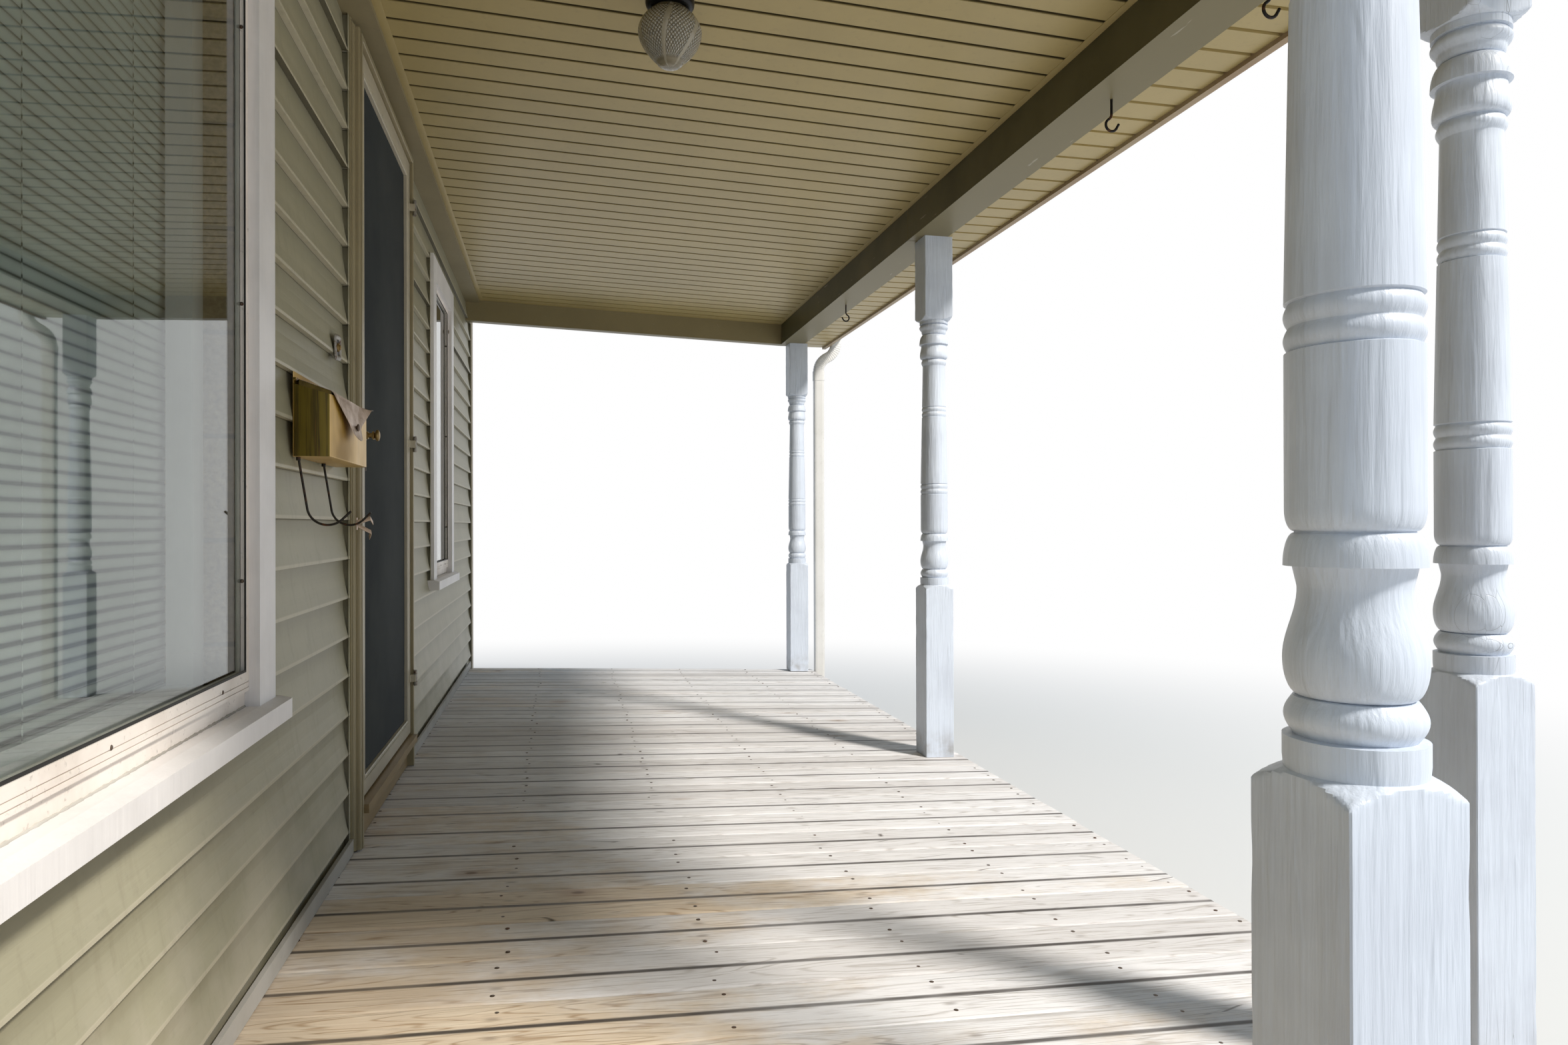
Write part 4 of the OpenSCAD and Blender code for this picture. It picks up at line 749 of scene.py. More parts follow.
def makeDeckBoards(v):
    # a board: rounded rectangle carried outwards along the deck's fall, cupped and a little bowed
    left, right = boardEdges(v)
    e, t = v["edge"], v["thick"]
    turn = np.radians([180, 150, 120, 90])
    corner = np.stack([np.cos(turn) * e + e, np.sin(turn) * e - e], 1)
    reach = v["reach"]
    out = np.concatenate([[0, 0.004], np.linspace(0.05, reach - 0.05, 22), [reach - 0.004, reach]])
    wide = (right - left)[:, None]
    across = np.concatenate([
        np.broadcast_to(corner[:, 0], (len(left), 4)), wide * np.linspace(0.2, 0.8, 5),
        wide - corner[::-1, 0], wide, np.zeros_like(wide)], axis=1)
    lift = np.concatenate([corner[:, 1], np.zeros(5), corner[::-1, 1], [-t, -t]])
    share = across / wide * 2 - 1
    phase, size = rng.uniform(0, 6.28, (len(left), 1, 1)), rng.uniform(0.3, 1, (len(left), 1, 1))
    bow = v["crown"] * size * (np.sin(out[None, :, None] * 2.7 + phase) - 1)
    cup = -v["cup"] * size * (1 - share[:, None, :] ** 2)
    sink = -v["uneven"] * rng.uniform(0, 1, (len(left), 1, 1))
    top = (np.arange(len(lift)) < 13)[None, None, :]
    z = deckZ(out)[None, :, None] + lift[None, None, :] + np.where(top, bow + cup + sink, 0)
    grid = place((left[:, None] + across)[:, None, :], out[None, :, None], z)
    gridPiece("deckBoards", grid, mats["deckWood"], slotName="deck_wood", replaced=("deck_boards",),
              tones=rng.uniform(0, 1, len(left)), smooth=50)


def makeNails(v):
    # nail heads: low domes in two rows along every board over each joist
    left, right = boardEdges(v)
    keep = (right - left) > 0.08
    rows = repeat["firstJoist"] + np.arange(v["joists"]) * v["joistSpan"] / (v["joists"] - 1)
    x = np.concatenate([left[keep] + v["nailIn"], right[keep] - v["nailIn"]])
    x, out = np.meshgrid(x, rows)
    x = (x + rng.normal(0, 0.004, x.shape)).ravel()
    out = (out + rng.normal(0, 0.007, out.shape)).ravel().clip(0.012, v["reach"] - 0.012)
    spots = place(x, out, deckZ(out) - v["nailSink"])
    heads = domeGrid(spots, (0, 0, 1), v["nailR"], v["nailRise"])
    gridPiece("deckNails", heads, mats["rustIron"], slotName="deck_wood", smooth=60)


makeDeckBoards(deck)
makeNails(deck)
stageNote("deck boards and nails")

# turned posts
post = {"side": 0.117, "base": 0.686, "head": 0.333, "shaft": 0.054, "shaftTop": 0.0445,
        "taper": (0.385, 0.830), "shoulder": 0.022, "beam": 2.465, "beamFace": 0.126, "wear": 0.0009,
        "baseRows": 46, "headRows": 26, "arris": 44.2, "footRise": 0.2}
postSpots = {
    "far_corner_post": (2.6915, 2.030), "middle_post": (0.3265, 2.030), "third_post": (-2.0785, 2.030),
    "near_corner_post": (-2.6915, 2.030), "near_end_post": (-2.6915, 1.225)}


def turnedOutline(v):
    # lathe outline as (share of the turned height, radius): beads are half sines, sweeps half cosines,
    # turnIn and turnUp quarter rounds that leave their first radius upright or level
    h = v["side"] / 2
    parts = []

    def lay(a, b, n, rise, radius):
        t = np.linspace(0, 1, n + 1)
        parts.append(np.stack([a + (b - a) * rise(t), radius(t)], 1))

    def shaft(a):
        low, high = v["taper"]
        return v["shaft"] + (v["shaftTop"] - v["shaft"]) * np.maximum(0, a - low) / (high - low)

    def bead(r, bulge, a, b, n=10):
        lay(a, b, n, lambda t: t, lambda t: r + bulge * np.sin(np.pi * t))

    def sweep(r0, r1, a, b, n=14):
        lay(a, b, n, lambda t: t, lambda t: r0 + (r1 - r0) * (1 - np.cos(np.pi * t)) / 2)

    def turnIn(r0, r1, a, b, n=9):
        lay(a, b, n, lambda t: np.sin(np.pi / 2 * t), lambda t: r1 + (r0 - r1) * np.cos(np.pi / 2 * t))

    def turnUp(r0, r1, a, b, n=9):
        lay(a, b, n, lambda t: 1 - np.cos(np.pi / 2 * t), lambda t: r0 + (r1 - r0) * np.sin(np.pi / 2 * t))

    def plain(a, b, n=10):
        lay(a, b, n, lambda t: t, lambda t: shaft(a + (b - a) * t))

    def twinBeads(a, b):
        r, mid = shaft((a + b) / 2) - 0.003, (a + b) / 2
        bead(r, 0.0035, a + 0.0008, mid, 9)
        bead(r, 0.0035, mid + 0.0002, b - 0.0008, 9)

    lay(0, 0.027, 3, lambda t: t, lambda t: h * 0.965 + 0 * t)
    bead(h * 0.82, h * 0.125, 0.028, 0.059)
    turnUp(h * 0.74, h * 0.955, 0.060, 0.0895)
    sweep(h * 0.955, h * 0.755, 0.090, 0.148, 20)
    lay(0.150, 0.166, 4, lambda t: t, lambda t: h * (0.758 + 0.062 * t))
    turnIn(h * 0.945, h * 0.79, 0.1665, 0.194)
    turnUp(h * 0.79, v["shaft"], 0.195, 0.213)
    plain(0.216, 0.3425, 12)
    twinBeads(0.343, 0.384)
    plain(0.3845, 0.6355, 18)
    twinBeads(0.636, 0.676)
    plain(0.6765, 0.830, 12)
    bead(h * 0.765, h * 0.09, 0.831, 0.856)
    turnUp(h * 0.81, h * 0.95, 0.857, 0.8695)
    sweep(h * 0.95, h * 0.855, 0.870, 0.911)
    turnIn(h * 0.985, h * 0.725, 0.912, 0.9495)
    turnUp(h * 0.725, h * 0.84, 0.950, 0.963)
    bead(h * 0.86, h * 0.125, 0.965, 0.988)
    lay(0.989, 1.0, 2, lambda t: t, lambda t: h * 0.97 + 0 * t)
    return np.concatenate(parts)


def makePost(name, x, out, v):
    # radius(angle, height) is the smaller of the square block's, side / 2 / max(|cos|, |sin|),
    # and the lathe's at that height, so the lathe rounds the block over where the two meet
    h, sh = v["side"] / 2, v["shoulder"]
    top = v["beam"] if name != "near_end_post" else ceilZ(out - h) - v["beamFace"]
    foot = deckZ(out)
    baseTop, headLow = foot + v["base"], top - v["head"]
    turned = turnedOutline(v)
    # the lathe's shoulder runs by a quarter cosine from just past the block's corner in to the neck
    s, neck, past = np.linspace(0, 1, 10), h * 0.95, h * 1.4143 + 0.001
    shoulderR = neck + (past - neck) * np.cos(np.pi / 2 * s)
    big = 1.0  # wider than the block, so that the block alone counts there
    zBase = np.linspace(foot, baseTop - sh, v["baseRows"])
    zHead = np.linspace(headLow + sh, top, v["headRows"])
    z = np.concatenate([zBase, baseTop - sh + sh * s[1:], baseTop + turned[1:, 0] * (headLow - baseTop),
                        headLow + sh * s[:-1], zHead])
    lathe = np.concatenate([0 * zBase + big, shoulderR[1:], turned[1:, 1], shoulderR[::-1][:-1],
                            0 * zHead + big])
    step = np.radians(np.concatenate([[-v["arris"]], np.linspace(-40, 40, 15), [v["arris"]]]))
    angle = np.concatenate([step + q * np.pi / 2 for q in range(4)])
    square = h / np.maximum(np.abs(np.cos(angle)), np.abs(np.sin(angle)))
    # worn arrises: the block's corners lose a little, more here and there
    seed = rng.uniform(0, 6.28, 4)
    worn = sum(np.sin(z * f + p) for f, p in zip((9, 23, 47, 81), seed))
    corner = h * 1.402 - v["wear"] * (0.6 + 0.35 * worn).clip(0, 2.2)
    radius = np.minimum(np.minimum(square[None], lathe[:, None]), corner[:, None])
    px, py = radius * np.cos(angle), radius * np.sin(angle)
    # the foot follows the deck's fall, and the rows above it level out over footRise
    low, rise, pz = deckZ(out - py), v["footRise"], z[:, None] + 0 * px
    pz = np.where(z[:, None] < foot + rise, low + (z[:, None] - foot) * (foot + rise - low) / rise, pz)
    if name == "near_end_post":
        pz = np.minimum(pz, ceilZ(out - py) - v["beamFace"])
    pz = np.clip(pz, None, top)
    gridPiece(name + "_turned", place(x + px, out - py, pz), mats["postPaint"], slotName="post_paint",
              replaced=(name,), smooth=35)


for spotName, (spotX, spotOut) in postSpots.items():
    makePost(spotName, spotX, spotOut, post)
stageNote("turned posts")

# ceiling light: pressed glass shade under the holder
def makeLampShade(v):
    # radius(t): quarter sine from the neck out to the widest ring, then a power curve in to the tip;
    # six slightly leaning ribs stand proud where the cosine of panels * angle is near 1, and a
    # bell curve in t makes the bead above the lens
    t = np.linspace(0, 1, 90)[:, None]
    angle = around(144)[None]
    upper = v["neck"] + (v["wide"] - v["neck"]) * np.sin(np.pi / 2 * np.minimum(t / v["turn"], 1))
    below = np.maximum((t - v["turn"]) / (1 - v["turn"]), 0)
    lower = v["tip"] + (v["wide"] - v["tip"]) * (1 - below ** v["taper"])
    shell = np.where(t < v["turn"], upper, lower)
    ribs = np.cos(v["panels"] * (angle + v["lean"] * t)) - v["ribFrom"]
    ribs = np.clip(ribs / (v["ribFull"] - v["ribFrom"]), 0, 1)
    inside = np.clip(np.minimum(t - 0.10, 0.93 - t) / 0.04, 0, 1)
    outer = shell + inside * v["rib"] * ribs + v["lip"] * np.exp(-((t - v["lipAt"]) / 0.014) ** 2)
    z = v["top"] - v["tall"] * t + 0 * angle
    lens = np.linspace(0, 1, 10)[1:, None]  # the clear button: a shallow dome under the tip
    lensR = v["tip"] * np.cos(np.pi / 2 * lens * 0.985) + 0 * angle
    lensZ = v["top"] - v["tall"] - v["lensDrop"] * np.sin(np.pi / 2 * lens) + 0 * angle
    inner = np.maximum(shell - v["wall"], 0.004) + 0 * angle
    floorR = np.linspace(1, 0.02, 6)[1:, None] * (v["tip"] - v["wall"]) + 0 * angle
    floorZ = v["top"] - v["tall"] + v["wall"] + 0 * floorR
    radius = np.concatenate([lensR[::-1], outer[::-1], inner[:-1], floorR])
    height = np.concatenate([lensZ[::-1], z[::-1], z[:-1], floorZ])
    grid = place(v["x"] + radius * np.cos(angle), v["out"] - radius * np.sin(angle), height)
    gridPiece("lampShade_glass", grid, mats["lampGlass"], slotName="light_glass",
              replaced=("light_shade",), smooth=70)


makeLampShade(lamp)
stageNote("ceiling light")

# downspout: fluted pipe with two crimped elbows
pipe = {"x": 2.6915, "outTop": 2.289, "outLow": 2.175, "zTop": 2.5145, "elbowTop": 2.4795, "bend": 0.100,
        "turn": 64.532, "foot": 0.060, "wide": 0.048, "deep": 0.066, "corner": 0.008, "flute": 0.0016,
        "crimps": 9, "crimp": 0.0022, "sleeve": 0.060, "sleeveProud": 0.0028}


def pipeSection(v, cols=64):
    # rounded rectangle as a superellipse of power 7, with shallow flutes cut along each face
    a = around(cols) + 0.001
    power = 2 / 7
    x = np.sign(np.cos(a)) * np.abs(np.cos(a)) ** power * v["wide"] / 2
    d = np.sign(np.sin(a)) * np.abs(np.sin(a)) ** power * v["deep"] / 2
    groove = np.maximum(0, np.cos(x / v["wide"] * 2 * np.pi * 2.5)) * (np.abs(d) > v["deep"] * 0.40)
    groove2 = np.maximum(0, np.cos(d / v["deep"] * 2 * np.pi * 2.5)) * (np.abs(x) > v["wide"] * 0.40)
    return x - np.sign(x) * v["flute"] * groove2, d - np.sign(d) * v["flute"] * groove


def makeDownspout(v):
    # the pipe's centre line falls, turns in on an arc, turns down on a second arc and falls to its foot;
    # in the elbows the section shrinks at each crimp by a narrow half-cosine pulse
    turn = np.radians(np.linspace(0, v["turn"], 55))
    r = v["bend"]
    out = np.concatenate([[v["outTop"]] * 3, v["outTop"] - r + r * np.cos(turn),
                          v["outLow"] + r - r * np.cos(turn[::-1][1:])])
    z = np.concatenate([np.linspace(v["zTop"], v["elbowTop"] + 0.004, 3), v["elbowTop"] - r * np.sin(turn),
                        v["elbowTop"] - 2 * r * np.sin(turn[-1]) + r * np.sin(turn[::-1][1:])])
    lean = np.concatenate([[0] * 3, turn, turn[::-1][1:]])
    count = np.concatenate([[0] * 3, np.linspace(0, v["crimps"], 55), np.linspace(0, v["crimps"], 55)[1:]])
    pinch = np.where(lean > 0.06, np.maximum(0, np.cos((count % 1 - 0.5) * 2 * np.pi)) ** 2, 0) * v["crimp"]
    low = z[-1]
    sleeveZ = low - np.array([0.0002, 0.0008, v["sleeve"] - 0.0006, v["sleeve"]])
    pipeZ = np.linspace(low - v["sleeve"] - 0.0004, v["foot"], 14)
    out = np.concatenate([out, [v["outLow"]] * (4 + len(pipeZ))])
    z = np.concatenate([z, sleeveZ, pipeZ])
    lean = np.concatenate([lean, [0] * (4 + len(pipeZ))])
    grow = np.concatenate([-pinch, [0, v["sleeveProud"], v["sleeveProud"], 0], [0] * len(pipeZ)])
    sx, sd = pipeSection(v)
    reach = np.maximum(np.hypot(sx, sd), 1e-6)
    px, pd = sx[None] * (1 + grow[:, None] / reach), sd[None] * (1 + grow[:, None] / reach)
    out, z, lean = out[:, None], z[:, None], lean[:, None]
    grid = place(v["x"] + px, out + pd * np.cos(lean), z - pd * np.sin(lean))
    gridPiece("downspout_pipe", grid, mats["gutterMetal"], slotName="gutter_metal", replaced=("downspout",),
              smooth=45)


makeDownspout(pipe)
stageNote("downspout")

# trims where the soffit sheets end, and the wrap on the beam
trim = {"x0": -2.69, "x1": 2.69, "beamIn": 1.930, "ledger": 0.085, "wide": 0.022, "deep": 0.0032,
        "beamOut": 2.070, "beamLow": 2.465, "wrapFrom": 0.352, "wrapTo": 2.689, "wrap": 0.0009}


def makeTrims(v):
    # flat bars under the ceiling's four edges, following its fall; the wrap is a thin bent sheet
    w, deep = v["wide"], v["deep"]
    outs = np.array([v["beamIn"] - w / 2, v["ledger"] + w / 2])
    starts = [(v["x0"], wallY - o, ceilZ(o)) for o in outs]
    ends = [(v["x1"], wallY - o, ceilZ(o)) for o in outs]
    for x in (v["x0"] + w / 2, v["x1"] - w / 2):
        starts.append((x, wallY - v["ledger"] - w, ceilZ(v["ledger"] + w)))
        ends.append((x, wallY - v["beamIn"] + w, ceilZ(v["beamIn"] - w)))
    sides = [(0, 1, 0), (0, 1, 0), (1, 0, 0), (1, 0, 0)]
    bars = barGrid(starts, ends, sides, w, deep)
    gridPiece("soffitTrims", bars, mats["soffitMetal"], slotName="soffit_metal")
    t, high, back, low = v["wrap"], ceilZ(v["beamIn"]) - v["deep"], v["beamIn"], v["beamLow"]
    out = np.array([back - t, back - t, v["beamOut"], v["beamOut"], back + t, back + t])[None]
    z = np.array([high, low - t, low - t, low + t, low + t, high])[None]
    x = np.array([v["wrapFrom"], v["wrapTo"]])[:, None]
    gridPiece("beamWrap", place(x, out, z), mats["beamPaint"], slotName="beam_paint")


makeTrims(trim)
stageNote("soffit trims and beam wrap")

# roof shingles: tabs laid in courses on the slope
roof = {"x0": -2.78, "x1": 2.78, "outLow": 2.267, "zLow": 2.6275, "zHigh": 3.19425, "tab": 0.305,
        "slot": 0.008, "show": 0.143, "lap": 0.030, "butt": 0.0065, "thin": 0.0012}


def makeShingles(v):
    # each tab is a wedge on the slope: its butt stands up by "butt" and thins out under the next course
    run = np.array([v["outLow"], v["zHigh"] - v["zLow"]])
    length = np.hypot(*run)
    rows = int(np.ceil(length / v["show"]))
    cols = int((v["x1"] - v["x0"]) / v["tab"]) + 2
    row, col = (a.ravel() for a in np.meshgrid(np.arange(rows), np.arange(cols), indexing="ij"))
    left = v["x0"] + (col - 0.5 * (row % 2)) * v["tab"] + rng.normal(0, 0.002, len(row))
    right = np.minimum(left + v["tab"] - v["slot"], v["x1"])
    left = np.maximum(left, v["x0"])
    keep = right - left > 0.03
    row, left, right = row[keep], left[keep], right[keep]
    butt = v["butt"] * rng.uniform(0.8, 1.1, len(row))
    s0 = row * v["show"] + rng.normal(0, 0.0015, len(row)) * (row > 0)
    s1 = np.minimum(s0 + v["show"] + v["lap"], length - 0.002)
    s = np.stack([s0, s0 + 0.001, s0 + (s1 - s0) * 0.5, s1], 1)[:, :, None]
    high = np.stack([butt * 0.7, butt, butt * 0.6 + v["thin"] * 0.4, 0 * butt + v["thin"]], 1)[:, :, None]
    across = np.array([0.004, 0.0, 0.0, 1.0, 1.0, 0.996])[None, None]
    up = np.array([1.0, 0.75, -0.3, -0.3, 0.75, 1.0])[None, None]
    x = left[:, None, None] + (right - left)[:, None, None] * across
    lift = np.where(up > 0, high * up, -0.001)
    out = v["outLow"] - s * run[0] / length - lift * run[1] / length
    z = v["zLow"] + s * run[1] / length + lift * run[0] / length
    grid = place(x, np.minimum(out, v["outLow"]), z)
    gridPiece("roofShingles", grid, mats["shingles"], slotName="shingles",
              tones=rng.uniform(0, 1, len(row)), smooth=30)


makeShingles(roof)
stageNote("shingles")

# windows: glazing gasket, frame screws and the caulk line on the sill
windowsAt = [
    {"x0": -2.594, "x1": -1.500, "z0": 0.992, "z1": 2.370, "paneLow": 1.056},
    {"x0": 1.060, "x1": 1.660, "z0": 1.082, "z1": 2.370, "paneLow": 1.146}]
glazing = {"rail": 0.018, "face": 0.014, "gasket": 0.0042, "proud": 0.0012, "screwR": 0.0036,
           "screwRise": 0.0014, "caulkR": 0.0024}


def makeWindowTrim(v):
    # gasket: four thin bars round each pane; screws: domes on the frame; caulk: a tube whose radius
    # wanders along it by a product of two sines and a third sine
    starts, ends, sides, screws, sideScrews, beads = [], [], [], [], [], []
    y = wallY - v["face"]
    for w in windowsAt:
        x0, x1, z0, z1 = w["x0"] + v["rail"], w["x1"] - v["rail"], w["paneLow"], w["z1"] - v["rail"]
        g = v["gasket"] / 2
        starts += [(x0, y, z0 + g), (x0, y, z1 - g), (x0 + g, y, z0), (x1 - g, y, z0)]
        ends += [(x1, y, z0 + g), (x1, y, z1 - g), (x0 + g, y, z1), (x1 - g, y, z1)]
        sides += [(0, 0, 1), (0, 0, 1), (1, 0, 0), (1, 0, 0)]
        for side in (-1, 1):
            edge = x0 if side > 0 else x1
            at = [(edge, y + 0.006, z) for z in np.linspace(z0 + 0.16, z1 - 0.16, 3)]
            sideScrews.append(domeGrid(at, (side, 0, 0), v["screwR"], v["screwRise"], 10))
        screws += [(x, y, w["z0"] + 0.048) for x in np.linspace(x0 + 0.12, x1 - 0.12, 3)]
        along = np.linspace(w["x0"] + 0.002, w["x1"] - 0.002, 150)
        wander = 1 + 0.35 * np.sin(along * 61 + 1.3) * np.sin(along * 143) + 0.25 * np.sin(along * 307 + 2)
        turn, radius = around(8), v["caulkR"] * wander[:, None]
        beads.append(place(along[:, None], 0.007 - radius * np.cos(turn),
                           w["z0"] + 0.0006 + radius * np.sin(turn)))
    bars = barGrid(starts, ends, sides, v["gasket"], 2 * v["proud"])
    gridPiece("window_gaskets", bars, mats["glazingGasket"], slotName="sash_metal")
    heads = np.concatenate([domeGrid(screws, (0, -1, 0), v["screwR"], v["screwRise"], 10)] + sideScrews)
    gridPiece("window_screws", heads, mats["rustIron"], slotName="sash_metal", smooth=60)
    gridPiece("window_caulk", np.array(beads), mats["caulk"], slotName="white_trim", smooth=60)


makeWindowTrim(glazing)
stageNote("window trim")

# blinds: closed slats on cords, and their head rail
blind = {"inset": 0.021, "out": -0.1133, "rail": 0.026, "railHalf": 0.009, "pitch": repeat["slat"],
         "wide": 0.0250, "tilt": -74, "crown": 0.0016, "thick": 0.0007, "cord": 0.0007, "cordOut": 0.0068,
         "sag": 0.0006, "cords": (-1.9992, -1.6703, 1.150, 1.570)}


def makeBlinds(v):
    # a slat: section points a across and b off it lie on a parabola of height crown, tipped by the tilt;
    # each slat hangs a little differently and sags between the cords by a sine
    starts, ends, rails, railEnds, slats = [], [], [], [], []
    for w in windowsAt:
        x0, x1 = w["x0"] + v["inset"], w["x1"] - v["inset"]
        z = np.arange(w["z1"] - v["rail"] - v["pitch"] / 2, w["z0"] + v["wide"] / 2, -v["pitch"])
        tilt = np.radians(v["tilt"] + rng.normal(0, 1.2, len(z)))[:, None, None]
        a = np.linspace(-0.5, 0.5, 6)
        a = np.concatenate([a, a[::-1]]) * v["wide"]
        b = v["crown"] * (1 - (2 * a / v["wide"]) ** 2) + np.where(np.arange(12) < 6, 0, -v["thick"])
        x = np.linspace(x0, x1, 24)[None, :, None]
        sag = v["sag"] * np.sin((x - x0) * 19 + rng.uniform(0, 6, (len(z), 1, 1)))
        high = z[:, None, None] + a * np.sin(tilt) + b * np.cos(tilt) + sag
        out = v["out"] - a * np.cos(tilt) + b * np.sin(tilt)
        slats.append(place(x, out, high))
        for c in v["cords"]:
            if x0 < c < x1:
                starts.append((c, wallY - v["out"] - v["cordOut"], w["z0"] + 0.001))
                ends.append((c, wallY - v["out"] - v["cordOut"], w["z1"] - v["rail"]))
        rails.append((x0, wallY - v["out"], w["z1"] - v["rail"] / 2))
        railEnds.append((x1, wallY - v["out"], w["z1"] - v["rail"] / 2))
    cords = barGrid(starts, ends, (1, 0, 0), 2 * v["cord"], 2 * v["cord"])
    rails = barGrid(rails, railEnds, (0, 0, 1), v["rail"], 2 * v["railHalf"], 0.06)
    gridPiece("blind_slats", np.concatenate(slats), mats["blindSlats"], slotName="blind_slats",
              replaced=("window_blinds",), smooth=50)
    gridPiece("blind_cords", cords, mats["blindSlats"], slotName="blind_slats")
    gridPiece("blind_rails", rails, mats["blindSlats"], slotName="blind_slats")


makeBlinds(blind)

# door moulding: one profile carried up the left side, along the head and down the right
mould = {"left": -0.620, "right": 0.280, "top": 2.604, "wide": 0.050, "deep": 0.044, "bead": 0.006,
         "cove": 0.009}


def makeMoulding(v):
    # profile point (a, b): a away from the opening, b off the wall; a rounded bead and a hollow
    # quarter circle between square quirks; the corners are mitred because a moves both jamb and head
    box = np.array(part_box("door_moulding"))
    low, high = box[0][2], box[1][2]
    turn = np.radians(np.linspace(0, 90, 5))
    bead = np.stack([0.024 + v["bead"] * np.sin(turn), 0.0365 + v["bead"] * np.cos(turn)], 1)
    cove = np.stack([0.042 - v["cove"] * np.cos(turn), 0.0335 - v["cove"] * np.sin(turn)], 1)
    profile = np.concatenate([
        [(0, 0), (0, 0.0425), (0.0015, v["deep"]), (0.0185, v["deep"]), (0.0195, 0.0350), (0.0240, 0.0350)],
        bead, [(0.030, 0.0300), (0.0335, 0.0300)], cove[1:],
        [(0.0424, 0.0170), (0.0460, 0.0170), (0.0463, 0.0235), (0.049, 0.0235), (v["wide"], 0.0225),
         (v["wide"], 0)]])
    a, b = profile[:, 0], profile[:, 1]
    top = high - (v["wide"] - a) * (high - v["top"]) / v["wide"]
    left, right, foot = v["left"] - a, v["right"] + a, low + 0 * a
    rows = [(left, foot), (left, top), (right, top), (right, foot)]
    grid = np.stack([place(x, b, z) for x, z in rows])
    gridPiece("door_moulding_cut", grid, mats["doorTrim"], slotName="door_trim",
              replaced=("door_moulding",), smooth=30)


makeMoulding(mould)

# storm door: mitred rails with a spline groove, the mesh, and the moving half of each hinge
storm = {"x0": -0.613, "x1": 0.273, "z0": 0.579, "z1": 2.597, "out0": 0.009, "out1": 0.034, "stile": 0.062,
         "lowRail": 0.054, "round": 0.0022, "lip": 0.009, "groove": 0.0035, "sunk": 0.0025, "mesh": 0.004,
         "hinges": (0.180, 1.010, 1.850), "strap": 0.0009, "knuckle": 0.026, "pinX": 0.2765,
         "pinOut": 0.051, "knuckleR": 0.0055, "bore": 0.00306}


def makeStormDoor(v):
    # rails: the profile (a from the outer edge inwards, b off the wall) set at four mitred corners; the
    # bottom rail is lower, so there a is shortened on its flat part
    w, low, high, r = v["stile"], v["out0"], v["out1"], v["round"]
    lip, sunk = w - v["lip"], high - v["sunk"]
    cut = lip - v["groove"]
    profile = np.array([
        (0, low + r), (0, high - r), (0.3 * r, high - 0.3 * r), (r, high), (cut, high), (cut + 0.0006, sunk),
        (lip - 0.0006, sunk), (lip, high), (w - 0.0015, high), (w, high - 0.0015), (w, low), (r, low)])
    a, b = profile[:, 0], profile[:, 1]
    foot = np.where(a > w / 2, a - w + v["lowRail"], a)
    left, right, top, foot = v["x0"] + a, v["x1"] - a, v["z1"] - a, v["z0"] + foot
    rows = [(left, foot), (left, top), (right, top), (right, foot)]
    grid = np.stack([place(x, b, z) for x, z in rows])
    onDoor = {"body": "storm_door", "slotName": "storm_door"}
    gridPiece("storm_door_rails", grid, mats["stormDoor"], loop=True, replaced=("storm_door_frame",),
              smooth=30, **onDoor)
    # mesh: one thin sheet inside the rails
    y, z0, z1 = wallY - (low + high) / 2, v["z0"] + v["lowRail"], v["z1"] - w
    sides = [[(x, y, (z0 + z1) / 2)] for x in (v["x0"] + w, v["x1"] - w)]
    gridPiece("storm_door_mesh", barGrid(*sides, (0, 0, 1), z1 - z0, v["mesh"]), mats["screenMesh"],
              body="storm_door", slotName="screen_mesh", replaced=("storm_door_screen",))
    # hinges: a strap on the rail, a leaf out to the pin and a leaf across to the knuckle, at each height
    k, pinY, face, starts, ends, tubes = v["knuckle"], wallY - v["pinOut"], wallY - high, [], [], []
    for h in v["hinges"]:
        z = v["z0"] + h
        middle = z + k / 2
        starts += [(v["x1"] - 0.028, face - v["strap"], middle), (v["x1"] - 0.0045, face + 0.0002, middle),
                   (v["x1"] - 0.006, pinY, middle)]
        ends += [(v["x1"] - 0.003, face - v["strap"], middle), (v["x1"] - 0.0045, pinY - 0.0015, middle),
                 (v["pinX"] - v["bore"] - 0.0006, pinY, middle)]
        tubes.append(turnGrid((v["pinX"], pinY, z), (0, 0, 1), [
            (0, v["bore"]), (0, v["knuckleR"]), (k, v["knuckleR"]), (k, v["bore"])], 24))
    gridPiece("storm_door_brackets", barGrid(starts, ends, (0, 0, 1), k, 0.0022), mats["stormDoor"], **onDoor)
    gridPiece("storm_door_knuckles", np.array(tubes), mats["hingeSteel"], loop=True, smooth=50, **onDoor)


makeStormDoor(storm)

# storm door handle: rosette, spindle, collar and a worn knob
handle = {"x": -0.5803, "z": 1.557, "face": 0.038, "rose": 0.020, "neck": 0.0065, "collar": 0.0105,
          "knob": 0.0155}


def makeHandle(v):
    # lathe work on the axis out of the door: radius at each distance from the door's face
    outline = [(-0.0005, v["rose"]), (0.002, v["rose"]), (0.004, v["rose"] * 0.8), (0.006, v["collar"]),
               (0.010, v["collar"]), (0.012, v["neck"]), (0.020, v["neck"]), (0.021, v["collar"]),
               (0.024, v["collar"] * 1.12), (0.026, v["collar"]), (0.027, v["neck"] * 1.1),
               (0.029, v["knob"] * 0.75), (0.031, v["knob"] * 0.95), (0.034, v["knob"]),
               (0.037, v["knob"] * 0.92), (0.0392, v["knob"] * 0.6), (0.0398, v["knob"] * 0.1)]
    grid = turnGrid((v["x"], wallY - v["face"], v["z"]), (0, -1, 0), outline, 40)
    gridPiece("storm_door_handle_turned", grid, mats["wornBrass"], body="storm_door", slotName="brass",
              replaced=("storm_door_handle",), smooth=50)


makeHandle(handle)

